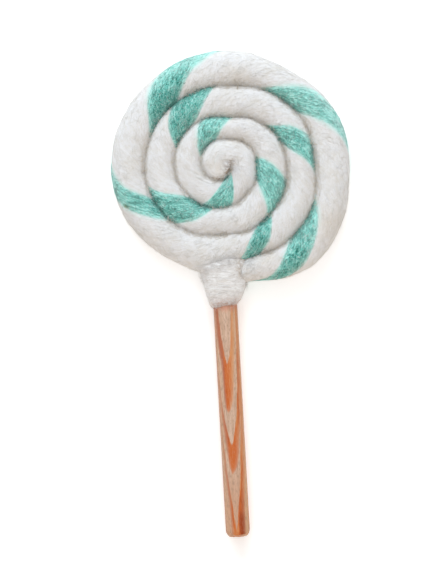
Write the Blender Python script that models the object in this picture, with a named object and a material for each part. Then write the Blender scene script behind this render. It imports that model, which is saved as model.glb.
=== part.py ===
"""A felted wool toy copy of a swirl lollipop, lying on its back.

One white felt rope is coiled into a flat round head. A teal stripe is felted into it and winds round
it from end to end. A wooden dowel is the stick, and a felt collar wraps it where it meets the head.

The head's shown face is up, the stick runs toward -Y, and the coil rests on its flattened underside.
Sizes are in millimetres until a mesh is made. Angles on the head are in degrees, clockwise as seen
from above and counted from +Y. They run on past 360 from one turn of the coil to the next.
"""

import math

import bmesh
import bpy
from mathutils import Vector

MM = 0.001
FIT_GAP = 0.3  # air left between neighbouring pieces

# The seam is the spiral crease between one turn of the rope and the next.
SEAM_ZERO = 243.2  # the angle at which the seam has made no turn yet
SEAM_FIRST_RADIUS = -3.33
SEAM_PITCH = 9.85  # rise in the first turn
SEAM_GROWTH = 0.354  # what each later turn adds to the pitch
SEAM_CORE_RADIUS = 0.3  # the seam closes in on this in the middle of the head
SEAM_CORE_SOFTNESS = 1.5
# Share of the pitch reached after each twelfth of a turn: nearly level, then one quick step outward
SEAM_CLIMB = (0.0, 0.11, 0.14, 0.10, 0.01, 0.13, 0.20, 0.19, 0.33, 0.40, 0.53, 0.81)
# Where the hand-rolled rope is fatter or thinner: angle, rise of the seam, spread in degrees
SEAM_SWELLS = (
    (321.0, 2.3, 42.0),
    (398.0, 0.9, 45.0),
    (548.0, 0.9, 18.0),
    (723.0, -0.4, 14.0),
    (1023.0, -0.6, 30.0),
    (1253.0, -1.5, 14.0),
    (1277.0, 2.0, 7.0),
    (1390.0, -0.5, 20.0),
    (1445.0, 0.9, 15.0),
    (1475.0, -1.5, 13.0),
    (1579.0, 0.8, 14.0),
    (1615.0, -4.9, 13.8),
)

# The rope
ROPE_START = -186.0
ROPE_END = 1257.0
ROPE_MID_HEIGHT = 5.6
ROPE_HALF_HEIGHT = 5.75  # a little more than the mid height, so that the underside is flat
ROPE_SQUARENESS = 2.4  # 2 is an ellipse
ROPE_FULL_HALF_WIDTH = 2.8  # where the rope starts narrower than this it is lower too
ROPE_TAIL_ROUNDING = 3.0
ROPE_TAIL_LENGTH = 26.0  # the last stretch, which thins toward the collar
ROPE_TAIL_THINNING = 0.24
ROPE_TIP_SHARE = 0.3  # size of the blunt tip
STATION_STEP = 2.4
STATION_ANGLES = (4.0, 12.0)  # least and most between two sections

# The stripe, as the angle where it crosses the rope's top and half its width in degrees round the rope
STRIPE_CROSSINGS = (
    (195.0, 44.0),
    (328.0, 36.0),
    (467.0, 42.0),
    (594.0, 31.0),
    (679.0, 43.0),
    (788.0, 34.0),
    (881.0, 33.0),
    (970.0, 31.0),
    (1037.0, 60.0),
    (1132.0, 42.0),
    (1220.0, 38.0),
)
STRIPE_START = 130.0
STRIPE_END = 1238.0
STRIPE_THICKNESS = 1.0
STRIPE_END_TAPER = 12.0
STRIPE_FLOOR_CLEARANCE = 0.2
STRIPE_POINTS = 5
ROPE_POINTS = 14  # round the white part of each section

# The stick
STICK_DIAMETER = 8.0
STICK_OFFSET = -3.8  # its axis lies this far to the side of the middle of the coil
STICK_TOP = -34.6
STICK_TIP = -122.8
STICK_EDGE_ROUNDING = 0.6
STICK_SIDES = 40

# The collar
COLLAR_MOUTH = -45.5
COLLAR_LENGTH = 15.6
COLLAR_MOUTH_RADIUS = 4.8
COLLAR_SPREAD = 3.8  # what the half width gains from the mouth to the head
COLLAR_TOP_RISE = 1.3
COLLAR_UNDER_RISE = 0.3
COLLAR_FLARE = 0.62  # under 1 is quick near the mouth
COLLAR_SQUARENESS = 2.2
COLLAR_SECTIONS = 14
COLLAR_POINTS = 32
COLLAR_CUT_RANGES = ((830.0, 1020.0), (1170.0, ROPE_END))  # the rope that the collar wraps
CUTTER_POINTS = 22


def clear_scene():
    for obj in list(bpy.data.objects):
        bpy.data.objects.remove(obj, do_unlink=True)


def make_material(name, colour, roughness):
    material = bpy.data.materials.new(name)
    material.use_nodes = True
    shader = material.node_tree.nodes["Principled BSDF"]
    shader.inputs["Base Color"].default_value = (*colour, 1.0)
    shader.inputs["Roughness"].default_value = roughness
    shader.inputs["Metallic"].default_value = 0.0
    material.diffuse_color = (*colour, 1.0)
    return material


def climb(twelfths):
    """Turns of pitch that the seam has risen, read smoothly from the climb of one turn."""
    whole = math.floor(twelfths)
    part = twelfths - whole
    count = len(SEAM_CLIMB)

    def knot(index):
        return SEAM_CLIMB[index % count] + index // count

    before, first, second, after = (knot(whole + shift) for shift in (-1, 0, 1, 2))
    bend = 2.0 * before - 5.0 * first + 4.0 * second - after
    twist = 3.0 * (first - second) + after - before
    return first + 0.5 * part * (second - before + part * (bend + part * twist))


def seam_radius(angle):
    turns = climb((angle - SEAM_ZERO) * len(SEAM_CLIMB) / 360.0) + 1.0
    radius = SEAM_FIRST_RADIUS + SEAM_PITCH * turns + SEAM_GROWTH * turns * (turns - 1.0) / 2.0
    for middle, rise, spread in SEAM_SWELLS:
        radius += rise * math.exp(-(((angle - middle) / spread) ** 2) / 2.0)
    over = radius - SEAM_CORE_RADIUS
    return SEAM_CORE_RADIUS + (over + math.hypot(over, SEAM_CORE_SOFTNESS)) / 2.0


def rounded_share(distance, length):
    """Share of its full size that something rounded has this far from its end."""
    if distance >= length:
        return 1.0
    left = 1.0 - max(distance, 0.0) / length
    return max(math.sqrt(1.0 - left * left), ROPE_TIP_SHARE)


def rope_section(angle):
    """Middle radius, half width and half height of the rope at this angle."""
    inner = seam_radius(angle)
    outer = seam_radius(angle + 360.0)
    radius = (inner + outer) / 2.0
    half_width = (outer - inner - FIT_GAP) / 2.0
    from_end = math.radians(ROPE_END - angle) * radius
    tail = max(0.0, 1.0 - from_end / ROPE_TAIL_LENGTH)
    half_height = ROPE_HALF_HEIGHT * (1.0 - ROPE_TAIL_THINNING * tail)
    half_height *= rounded_share(half_width, ROPE_FULL_HALF_WIDTH)
    share = rounded_share(from_end, ROPE_TAIL_ROUNDING)
    return radius, half_width * share, half_height * share


def power_curve(value, squareness):
    return math.copysign(abs(value) ** (2.0 / squareness), value)


def rope_point(angle, around, depth=0.0, lowest=0.0):
    """A point on the rope, or this deep under its surface.

    around is in degrees from the rope's top toward the rim of the head.
    """
    radius, half_width, half_height = rope_section(angle)
    side = power_curve(math.sin(math.radians(around)), ROPE_SQUARENESS)
    up = power_curve(math.cos(math.radians(around)), ROPE_SQUARENESS)
    reach = radius + side * (half_width - depth)
    height = max(ROPE_MID_HEIGHT + up * (half_height - depth), lowest)
    turned = math.radians(angle)
    return Vector((reach * math.sin(turned), reach * math.cos(turned), height))


def station_angles(start, end):
    least, most = STATION_ANGLES
    angles = [start]
    while angles[-1] < end:
        step = math.degrees(STATION_STEP / rope_section(angles[-1])[0])
        angles.append(angles[-1] + min(max(step, least), most))
    stretch = (end - start) / (angles[-1] - start)
    return [start + (angle - start) * stretch for angle in angles]


def stripe_slopes():
    """Degrees round the rope per degree round the head, at each crossing."""
    steps = [
        360.0 / (later[0] - earlier[0])
        for earlier, later in zip(STRIPE_CROSSINGS, STRIPE_CROSSINGS[1:])
    ]
    inner = [2.0 * one * two / (one + two) for one, two in zip(steps, steps[1:])]
    return [steps[0], *inner, steps[-1]]


def stripe_place(angle):
    """Where the stripe's middle is round the rope, and half its width, both in degrees."""
    slopes = stripe_slopes()
    last = len(STRIPE_CROSSINGS) - 1
    first_angle, first_width = STRIPE_CROSSINGS[0]
    last_angle, last_width = STRIPE_CROSSINGS[last]
    if angle <= first_angle:
        return (angle - first_angle) * slopes[0], first_width
    if angle >= last_angle:
        return 360.0 * last + (angle - last_angle) * slopes[last], last_width
    index = max(i for i in range(last) if STRIPE_CROSSINGS[i][0] <= angle)
    start, start_width = STRIPE_CROSSINGS[index]
    end, end_width = STRIPE_CROSSINGS[index + 1]
    span = end - start
    part = (angle - start) / span
    eased = part * part * (3.0 - 2.0 * part)
    lead = part * (1.0 - part) ** 2 * span * slopes[index]
    trail = part * part * (1.0 - part) * span * slopes[index + 1]
    around = 360.0 * (index + eased) + lead - trail
    return around, start_width + (end_width - start_width) * eased


def stripe_half_width(angle):
    """Half the stripe's width in degrees, narrowing at both of its ends."""
    width = stripe_place(angle)[1]
    from_end = min(angle - STRIPE_START, STRIPE_END - angle)
    return width * min(1.0, 0.4 + 0.6 * max(from_end, 0.0) / STRIPE_END_TAPER)


def spread(start, end, count):
    return [start + (end - start) * index / (count - 1) for index in range(count)]


def grooved_ring(angle):
    """Points round the rope, sunk where the stripe lies in it."""
    middle = stripe_place(angle)[0]
    gap_angle = math.degrees(FIT_GAP / ROPE_HALF_HEIGHT)
    lip = stripe_half_width(angle) + 2.0 * gap_angle
    wall_foot = lip - gap_angle
    sunk = STRIPE_START <= angle <= STRIPE_END
    depth = STRIPE_THICKNESS + FIT_GAP if sunk else 0.0
    points = []
    for offset in spread(-wall_foot, wall_foot, STRIPE_POINTS):
        points.append(rope_point(angle, middle + offset, depth))
    for offset in spread(lip, 360.0 - lip, ROPE_POINTS):
        points.append(rope_point(angle, middle + offset))
    return points


def stripe_ring(angle):
    middle = stripe_place(angle)[0]
    half = stripe_half_width(angle)
    offsets = spread(-half, half, STRIPE_POINTS)
    outside = [
        rope_point(angle, middle + offset, 0.0, STRIPE_FLOOR_CLEARANCE) for offset in offsets
    ]
    inside = [rope_point(angle, middle + offset, STRIPE_THICKNESS) for offset in offsets]
    return outside + inside[::-1]


def cutter_ring(angle):
    """The rope's section with the fit gap added all round."""
    step = 360.0 / CUTTER_POINTS
    lowest = -2.0 * FIT_GAP
    return [
        rope_point(angle, step * index, -FIT_GAP, lowest) for index in range(CUTTER_POINTS)
    ]


def collar_ring(share):
    """One section of the collar, from 0 at the mouth to 1 at the end on the head."""
    flare = share ** COLLAR_FLARE
    half_width = COLLAR_MOUTH_RADIUS + COLLAR_SPREAD * flare
    rise = COLLAR_MOUTH_RADIUS + COLLAR_TOP_RISE * flare
    fall = COLLAR_MOUTH_RADIUS + COLLAR_UNDER_RISE * flare
    points = []
    for index in range(COLLAR_POINTS):
        turned = 2.0 * math.pi * index / COLLAR_POINTS
        side = power_curve(math.sin(turned), COLLAR_SQUARENESS)
        up = power_curve(math.cos(turned), COLLAR_SQUARENESS)
        height = ROPE_MID_HEIGHT + up * (rise if up > 0.0 else fall)
        along = COLLAR_MOUTH + share * COLLAR_LENGTH
        points.append(Vector((STICK_OFFSET + side * half_width, along, height)))
    return points


def link_mesh(name, shell, material):
    """Turn a finished bmesh in millimetres into an object in metres."""
    bmesh.ops.recalc_face_normals(shell, faces=shell.faces)
    bmesh.ops.scale(shell, vec=(MM, MM, MM), verts=shell.verts)
    mesh = bpy.data.meshes.new(name)
    shell.to_mesh(mesh)
    shell.free()
    mesh.materials.append(material)
    obj = bpy.data.objects.new(name, mesh)
    bpy.context.scene.collection.objects.link(obj)
    return obj


def loft(name, rings, material, turned_back=None):
    """Join rings of equal length into one closed skin with a cap at each end.

    Each side panel is split along the diagonal that leads on round the ring. Panels from
    turned_back on run the other way round, so they are split along the other diagonal.
    """
    shell = bmesh.new()
    rows = [[shell.verts.new(point) for point in ring] for ring in rings]
    count = len(rows[0])
    turned_back = count if turned_back is None else turned_back
    for row, following in zip(rows, rows[1:]):
        for index in range(count):
            after = (index + 1) % count
            if index < turned_back:
                shell.faces.new((row[index], row[after], following[index]))
                shell.faces.new((row[after], following[after], following[index]))
            else:
                shell.faces.new((row[index], row[after], following[after]))
                shell.faces.new((row[index], following[after], following[index]))
    shell.faces.new(rows[0])
    shell.faces.new(rows[-1])
    bmesh.ops.triangulate(shell, faces=shell.faces)
    return link_mesh(name, shell, material)


def shade_smooth(obj, sharp_angle=40.0):
    obj.data.polygons.foreach_set("use_smooth", [True] * len(obj.data.polygons))
    obj.data.set_sharp_from_angle(angle=math.radians(sharp_angle))


def make_coil(material):
    rings = [grooved_ring(angle) for angle in station_angles(ROPE_START, ROPE_END)]
    coil = loft("felt_coil", rings, material)
    shade_smooth(coil)
    return coil


def make_stripe(material):
    angles = station_angles(ROPE_START, ROPE_END)
    rings = [stripe_ring(angle) for angle in angles if STRIPE_START <= angle <= STRIPE_END]
    stripe = loft("teal_stripe", rings, material, STRIPE_POINTS - 1)
    shade_smooth(stripe)
    return stripe


def dowel(name, radius, top, tip, material):
    shell = bmesh.new()
    bmesh.ops.create_cone(
        shell,
        cap_ends=True,
        cap_tris=False,
        segments=STICK_SIDES,
        radius1=radius,
        radius2=radius,
        depth=top - tip,
    )
    quarter_turn = Vector((0.0, 0.0, 1.0)).rotation_difference(Vector((0.0, 1.0, 0.0)))
    bmesh.ops.rotate(shell, verts=shell.verts, matrix=quarter_turn.to_matrix())
    middle = Vector((STICK_OFFSET, (top + tip) / 2.0, ROPE_MID_HEIGHT))
    bmesh.ops.translate(shell, vec=middle, verts=shell.verts)
    return link_mesh(name, shell, material)


def make_stick(material):
    stick = dowel("wood_stick", STICK_DIAMETER / 2.0, STICK_TOP, STICK_TIP, material)
    rounding = stick.modifiers.new("rounded ends", "BEVEL")
    rounding.width = STICK_EDGE_ROUNDING * MM
    rounding.segments = 2
    rounding.limit_method = "ANGLE"
    rounding.angle_limit = math.radians(50.0)
    shade_smooth(stick, 50.0)
    return stick


def cut(target, cutter):
    cutter.hide_render = True
    cutter.hide_viewport = True
    subtraction = target.modifiers.new(f"room for {cutter.name}", "BOOLEAN")
    subtraction.operation = "DIFFERENCE"
    subtraction.solver = "EXACT"
    subtraction.object = cutter


def make_collar(material):
    rings = [collar_ring(share) for share in spread(0.0, 1.0, COLLAR_SECTIONS)]
    collar = loft("felt_collar", rings, material)
    for index, (start, end) in enumerate(COLLAR_CUT_RANGES):
        rings = [cutter_ring(angle) for angle in station_angles(start, end)]
        cut(collar, loft(f"rope_space_{index}", rings, material))
    past_mouth = COLLAR_MOUTH - 5.0
    bore = dowel(
        "stick_space", STICK_DIAMETER / 2.0 + FIT_GAP, STICK_TOP + FIT_GAP, past_mouth, material
    )
    cut(collar, bore)
    shade_smooth(collar)
    return collar


def centre_on_origin(pieces):
    """Move everything so that the middle of the whole underside is the origin."""
    bpy.context.view_layer.update()
    corners = [piece.matrix_world @ Vector(corner) for piece in pieces for corner in piece.bound_box]
    low = [min(corner[axis] for corner in corners) for axis in range(3)]
    high = [max(corner[axis] for corner in corners) for axis in range(3)]
    middle = Vector(((low[0] + high[0]) / 2.0, (low[1] + high[1]) / 2.0, low[2]))
    for obj in bpy.data.objects:
        obj.location -= middle


def main():
    clear_scene()
    white_wool = make_material("white_wool", (0.78, 0.77, 0.74), 0.95)
    teal_wool = make_material("teal_wool", (0.22, 0.50, 0.44), 0.95)
    collar_wool = make_material("collar_wool", (0.72, 0.70, 0.67), 0.95)
    wood = make_material("bare_wood", (0.62, 0.36, 0.22), 0.6)
    coil = make_coil(white_wool)
    stripe = make_stripe(teal_wool)
    stick = make_stick(wood)
    collar = make_collar(collar_wool)
    centre_on_origin([coil, stripe, stick, collar])


main()
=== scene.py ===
"""Looks of a felted wool toy swirl lollipop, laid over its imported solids.

A hand-rolled rope of white wool with a teal stripe is coiled into a flat head. Wool fibres wound
round the top of a wooden dowel form the collar that holds the head. The toy lies on its back with
its face up (+Z) and the stick toward -Y.

Lengths are in millimetres until a mesh is made. Angles on the head are in degrees, clockwise as
seen from above and counted from +Y, and run on past 360 from one turn of the coil to the next.
"""

from __future__ import annotations

import logging
import math
from dataclasses import dataclass
from enum import Enum
from functools import reduce
from typing import Union

import bpy
import numpy as np
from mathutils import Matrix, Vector, noise


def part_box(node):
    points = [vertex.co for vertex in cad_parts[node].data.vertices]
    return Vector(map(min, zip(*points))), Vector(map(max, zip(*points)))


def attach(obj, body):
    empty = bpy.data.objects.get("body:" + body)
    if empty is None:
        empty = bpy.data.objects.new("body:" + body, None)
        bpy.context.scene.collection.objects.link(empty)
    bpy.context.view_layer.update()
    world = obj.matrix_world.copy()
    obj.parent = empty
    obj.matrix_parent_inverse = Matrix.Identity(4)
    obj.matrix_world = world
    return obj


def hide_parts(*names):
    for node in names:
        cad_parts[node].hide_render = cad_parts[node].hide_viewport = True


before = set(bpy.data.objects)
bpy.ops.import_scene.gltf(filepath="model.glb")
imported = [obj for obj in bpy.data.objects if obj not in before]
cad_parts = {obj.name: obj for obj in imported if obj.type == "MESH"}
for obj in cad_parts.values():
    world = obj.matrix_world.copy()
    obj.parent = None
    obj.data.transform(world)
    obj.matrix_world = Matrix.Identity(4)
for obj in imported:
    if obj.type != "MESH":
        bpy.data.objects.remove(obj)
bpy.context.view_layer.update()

MM = 0.001
Colour = tuple[float, float, float]
Pairs = tuple[tuple[float, float], ...]
Triples = tuple[tuple[float, float, float], ...]
Rows = tuple[tuple[float, ...], ...]
Socket = bpy.types.NodeSocket
Input = Union[Socket, float, tuple]
LOG = logging.getLogger("lollipop")


def noise_at(points: np.ndarray, size: float, seed: float = 0.0) -> np.ndarray:
    """Smooth noise from about -1 to 1 at each point.

    Args:
        points: Points in millimetres, with x, y and z in the last axis.
        size: Width of one lump in millimetres.
        seed: Shift that gives another pattern.

    Returns:
        One value for each point.
    """
    scaled = points.reshape(-1, 3) / size + seed
    values = [noise.noise(Vector(point)) for point in scaled.tolist()]
    return np.array(values).reshape(points.shape[:-1])


def smooth_share(value: np.ndarray, low: float, high: float) -> np.ndarray:
    """Ease from 0 at low to 1 at high."""
    part = np.clip((value - low) / (high - low), 0.0, 1.0)
    return part * part * (3.0 - 2.0 * part)


def bell(distance: np.ndarray, width: float) -> np.ndarray:
    """Fall from 1 at no distance to about a third at the width."""
    return np.exp(-((distance / width) ** 2))


def wrapped(degrees: np.ndarray) -> np.ndarray:
    """Bring angles to between -180 and 180 degrees."""
    return (degrees + 180.0) % 360.0 - 180.0


def squarer(wave: np.ndarray, squareness: float) -> np.ndarray:
    """Turn a circle's sine or cosine into that of a squarer section, as one row."""
    return (np.sign(wave) * np.abs(wave) ** (2.0 / squareness))[None, :]


def unit(vectors: np.ndarray) -> np.ndarray:
    """Scale vectors to length 1."""
    length = np.linalg.norm(vectors, axis=-1, keepdims=True)
    return vectors / np.maximum(length, 1e-9)


def joined(*parts: np.ndarray) -> np.ndarray:
    """Join x, y and z into points, after stretching each to the same grid."""
    return np.stack(np.broadcast_arrays(*parts), axis=-1)


@dataclass(frozen=True)
class Layout:
    """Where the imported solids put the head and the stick.

    Attributes:
        head_x: Middle of the coil across the stick.
        head_y: Middle of the coil along the stick.
        axis_x: The stick's axis.
        axis_z: Height of the stick's axis, which is also the middle of the rope.
        tip_y: The stick's free end.
        stick_radius: Half the stick's thickness.
    """

    head_x: float
    head_y: float
    axis_x: float
    axis_z: float
    tip_y: float
    stick_radius: float

    HEAD_FROM_AXIS = 3.8
    HEAD_FROM_TIP = 122.8

    @classmethod
    def read(cls) -> Layout:
        """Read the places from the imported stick.

        Returns:
            The places.
        """
        low, high = (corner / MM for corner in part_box("wood_stick"))
        axis_x = (low.x + high.x) / 2.0
        return cls(
            head_x=axis_x + cls.HEAD_FROM_AXIS,
            head_y=low.y + cls.HEAD_FROM_TIP,
            axis_x=axis_x,
            axis_z=(low.z + high.z) / 2.0,
            tip_y=low.y,
            stick_radius=(high.z - low.z) / 2.0,
        )

    def on_head(self, angle: np.ndarray, radius: np.ndarray) -> tuple[np.ndarray, np.ndarray]:
        """Places across and along the stick, for angles and distances on the head."""
        turned = np.radians(angle)
        return self.head_x + radius * np.sin(turned), self.head_y + radius * np.cos(turned)


# Shader nodes


class Graph:
    """A short way to add and link shader nodes in one tree."""

    def __init__(self, tree: bpy.types.NodeTree) -> None:
        """Work in this tree."""
        self.tree = tree

    def feed(self, target: Socket, given: Input) -> None:
        """Link a socket into another, or set a value on it.

        Args:
            target: The socket that takes it.
            given: A socket, a number, a vector or a linear colour.
        """
        if isinstance(given, bpy.types.NodeSocket):
            self.tree.links.new(given, target)
        else:
            target.default_value = (*given, 1.0) if target.type == "RGBA" else given

    def node(self, kind: str, inputs: dict[Union[str, int], Input], **settings) -> bpy.types.Node:
        """Add a node.

        Args:
            kind: The node's type name.
            inputs: A value or a socket for each named or numbered input.
            **settings: The node's own settings.

        Returns:
            The new node.
        """
        made = self.tree.nodes.new(kind)
        for name, setting in settings.items():
            setattr(made, name, setting)
        for key, given in inputs.items():
            self.feed(made.inputs[key], given)
        return made

    def carried(self, name: str, kind: str = "Fac") -> Socket:
        """Read a number, or a vector, that the mesh carries at each point."""
        return self.node("ShaderNodeAttribute", {}, attribute_name=name).outputs[kind]

    def place(self) -> Socket:
        """Place on the object, in metres."""
        return self.node("ShaderNodeTexCoord", {}).outputs["Object"]

    def parts(self, vector: Socket) -> tuple[Socket, ...]:
        """Split a vector into x, y and z."""
        return tuple(self.node("ShaderNodeSeparateXYZ", {0: vector}).outputs)

    def math(self, operation: str, first: Input, second: Input) -> Socket:
        """Combine two numbers."""
        return self.node("ShaderNodeMath", {0: first, 1: second}, operation=operation).outputs[0]

    def times(self, first: Input, second: Input) -> Socket:
        """Multiply two numbers."""
        return self.math("MULTIPLY", first, second)

    def plus(self, *terms: Input) -> Socket:
        """Add up two or more numbers."""
        return reduce(lambda total, term: self.math("ADD", total, term), terms)

    def ease(self, value: Input, low: Input, high: Input) -> Socket:
        """Ease from 0 where value is low to 1 where it is high."""
        given = {"Value": value, "From Min": low, "From Max": high}
        return self.node("ShaderNodeMapRange", given, interpolation_type="SMOOTHSTEP").outputs[0]

    def mix(self, share: Input, first: Input, second: Input) -> Socket:
        """Blend two colours, with more of the second one as the share grows."""
        return self.node("ShaderNodeMix", {0: share, 6: first, 7: second}, data_type="RGBA").outputs[2]

    def noise(self, place: Input, scale: float, detail: float) -> Socket:
        """Sample smooth noise round 0.5."""
        given = {"Vector": place, "Scale": scale, "Detail": detail, "Roughness": 0.6}
        return self.node("ShaderNodeTexNoise", given).outputs["Fac"]

    def sway(self, place: Input, scale: float, detail: float) -> Socket:
        """Sample smooth noise round 0."""
        return self.math("SUBTRACT", self.noise(place, scale, detail), 0.5)

    def bump(self, height: Input, strength: float, distance: float) -> Socket:
        """Turn a height from 0 to 1, which stands for a distance in metres, into a normal."""
        given = {"Height": height, "Strength": strength, "Distance": distance}
        return self.node("ShaderNodeBump", given).outputs["Normal"]


@dataclass(frozen=True)
class MattedWool:
    """The look of matted fibres, as one node group that several materials share.

    Attributes:
        streaks: Strength of the streaks along the strands.
        clumps: Strength of the clumps.
        grain: Strength of the finest mottling.
        fineness: How much thinner the streaks are.
    """

    streaks: float
    clumps: float
    grain: float
    fineness: float = 1.0

    NAME = "Matted wool"
    SLOPES = ((0.35, 1.7, 0.6), (-0.45, 2.9, 0.55), (0.0, 1.1, 0.4))
    CLUMP_SCALE = 480.0
    GRAIN_SCALE = 1900.0

    @classmethod
    def group(cls) -> bpy.types.NodeTree:
        """Build the group on its first use.

        It has a set of streaks for each slope, scale and weight in SLOPES, and clumps and grain.

        Returns:
            The group.
        """
        if cls.NAME in bpy.data.node_groups:
            return bpy.data.node_groups[cls.NAME]
        made = bpy.data.node_groups.new(cls.NAME, "ShaderNodeTree")
        sockets = [(name, "INPUT", "NodeSocketVector") for name in ("Strand", "Position")]
        sockets += [(name, "INPUT", "NodeSocketFloat") for name in ("Streaks", "Clumps", "Grain")]
        sockets += [(name, "OUTPUT", "NodeSocketFloat") for name in ("Shade", "Height")]
        for name, way, kind in sockets:
            made.interface.new_socket(name, in_out=way, socket_type=kind)
        graph = Graph(made)
        given = graph.node("NodeGroupInput", {}).outputs
        streaks = []
        for slope, scale, weight in cls.SLOPES:
            turn = graph.times(graph.parts(given["Strand"])[0], slope)
            turned = graph.node(
                "ShaderNodeVectorRotate",
                {"Vector": given["Strand"], "Angle": turn},
                rotation_type="X_AXIS",
            ).outputs[0]
            streaks.append(graph.times(graph.sway(turned, scale, 3.0), weight))
        clumps = graph.times(graph.sway(given["Position"], cls.CLUMP_SCALE, 3.0), given["Clumps"])
        grain = graph.times(graph.sway(given["Position"], cls.GRAIN_SCALE, 2.0), given["Grain"])
        shade = graph.plus(graph.times(graph.plus(*streaks), given["Streaks"]), clumps, grain, 0.5)
        graph.node("NodeGroupOutput", {"Shade": shade, "Height": shade})
        return made

    def put(self, graph: Graph) -> bpy.types.Node:
        """Place the group in a material.

        Args:
            graph: The material's graph.

        Returns:
            Its node.
        """
        strand = {0: graph.carried("strand", "Vector"), "Scale": self.fineness}
        given = {
            "Strand": graph.node("ShaderNodeVectorMath", strand, operation="SCALE").outputs[0],
            "Position": graph.place(),
            "Streaks": self.streaks,
            "Clumps": self.clumps,
            "Grain": self.grain,
        }
        return graph.node("ShaderNodeGroup", given, node_tree=self.group())


@dataclass(frozen=True)
class Finish:
    """What every finish shares: a name, the shader's constant values and a fresh graph."""

    name: str
    roughness: float = 0.9
    specular: float = 0.2

    def start(self) -> tuple[bpy.types.Material, Graph, bpy.types.Node]:
        """Make the material.

        Returns:
            The material, a graph over its nodes and its Principled shader.
        """
        material = bpy.data.materials.new(self.name)
        material.use_nodes = True
        shader = material.node_tree.nodes["Principled BSDF"]
        shader.inputs["Roughness"].default_value = self.roughness
        shader.inputs["Specular IOR Level"].default_value = self.specular
        return material, Graph(material.node_tree), shader


@dataclass(frozen=True)
class WoolFinish(Finish):
    """Matted white wool.

    Attributes:
        white: Colour of clean white wool.
        cream: Colour of the yellower patches in it.
        creaminess: How strong the cream colour gets.
        streaks: Strength of the streaks along the strands.
        grain: Strength of the finest mottling.
        relief: Height of the relief in metres.
        sheen: Strength of the fuzz that lightens the sides.
        hollow: Colour of the painted shade, laid where the mesh says so.
        shade_strength: How strongly the painted shade shows.
    """

    white: Colour = (0.80, 0.795, 0.815)
    cream: Colour = (0.70, 0.665, 0.625)
    creaminess: float = 0.75
    streaks: float = 1.2
    grain: float = 0.7
    relief: float = 0.0003
    sheen: float = 0.4
    hollow: Colour = (0.64, 0.55, 0.45)
    shade_strength: float = 0.4

    def wool(self, graph: Graph) -> tuple[Socket, bpy.types.Node]:
        """Colour the white wool.

        Args:
            graph: The material's graph.

        Returns:
            The wool's colour and the node of its matted fibres.
        """
        wool = MattedWool(self.streaks, 1.0, self.grain).put(graph)
        patches = graph.times(graph.ease(graph.noise(graph.place(), 95.0, 2.0), 0.42, 0.72), 0.45)
        share = graph.plus(patches, graph.ease(wool.outputs["Shade"], 0.75, 0.1))
        white = graph.mix(graph.times(share, self.creaminess), self.white, self.cream)
        # Painted shade: the shade colour is laid over the wool where the mesh carries it
        return graph.mix(graph.times(graph.carried("hollow"), self.shade_strength), white, self.hollow), wool

    def close(self, graph: Graph, shader: bpy.types.Node, mixed: Socket, wool: bpy.types.Node) -> None:
        """Give the shader its colour, relief and sheen.

        Args:
            graph: The material's graph.
            shader: Its Principled shader.
            mixed: The finished colour.
            wool: The node of the matted fibres.
        """
        graph.feed(shader.inputs["Base Color"], mixed)
        graph.feed(shader.inputs["Normal"], graph.bump(wool.outputs["Height"], 0.8, self.relief))
        graph.feed(shader.inputs["Sheen Weight"], self.sheen)
        graph.feed(shader.inputs["Sheen Roughness"], 0.6)

    def build(self) -> bpy.types.Material:
        """Make the material.

        Returns:
            The finished material.
        """
        material, graph, shader = self.start()
        self.close(graph, shader, *self.wool(graph))
        return material


@dataclass(frozen=True)
class StripedWoolFinish(WoolFinish):
    """White wool with a teal band where the mesh's stripe distance is below zero.

    Attributes:
        teal: Colour of the dyed wool.
        deep_teal: Colour between the dyed fibres.
        mint: Colour where white fibres lie over the dye.
        teal_crease_shade: Colour of the painted shade on the dyed wool in the creases.
        fibres: The matting of the dyed wool.
        teal_light_strength: Strength of the painted highlight and painted shade that the mesh carries for the
            band.
        edge_wander: How far the stripe's edge strays, in millimetres.
        veil: How far white fibres reach over the stripe from its edge, in millimetres.
        bleed: How far the dye creeps over the stripe's edge, in millimetres.
        haze: How far dyed fibres reach over the white wool, in millimetres.
    """

    relief: float = 0.00035
    teal: Colour = (0.153, 0.583, 0.517)
    deep_teal: Colour = (0.008, 0.17, 0.135)
    mint: Colour = (0.50, 0.86, 0.80)
    teal_crease_shade: Colour = (0.006, 0.12, 0.09)
    fibres: MattedWool = MattedWool(2.2, 0.9, 1.0, 1.6)
    teal_light_strength: float = 0.4
    edge_wander: float = 1.3
    veil: float = 1.6
    bleed: float = 0.12
    haze: float = 1.7

    def build(self) -> bpy.types.Material:
        """Make the material.

        Returns:
            The finished material.
        """
        material, graph, shader = self.start()
        white, wool = self.wool(graph)
        stray = graph.times(graph.sway(graph.carried("strand", "Vector"), 1.6, 4.0), self.edge_wander)
        edge = graph.plus(graph.carried("stripe_edge"), stray, -self.bleed)
        # Painted highlight where positive, painted shade where negative; it also feeds the mint haze
        teal_light = graph.times(graph.carried("thinness"), self.teal_light_strength)
        haze = graph.times(graph.ease(edge, self.haze, 0.0), graph.plus(teal_light, 0.10))
        white = graph.mix(haze, white, self.mint)
        shade = self.fibres.put(graph).outputs["Shade"]
        teal = self.teal
        for share, colour in (
            (graph.ease(shade, 0.51, 0.24), self.deep_teal),
            (graph.ease(shade, 0.51, 0.84), self.mint),
            # Painted highlight toward mint, then painted shade toward deep teal
            (teal_light, self.mint),
            (graph.times(teal_light, -1.0), self.deep_teal),
            (graph.times(graph.ease(edge, -self.veil, -0.2), 0.45), self.mint),
            # Painted shade on the dyed wool where it turns down into a crease
            (graph.times(graph.carried("side"), 0.8), self.teal_crease_shade),
        ):
            teal = graph.mix(share, teal, colour)
        self.close(graph, shader, graph.mix(graph.ease(edge, 0.5, -0.5), white, teal), wool)
        return material


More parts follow.
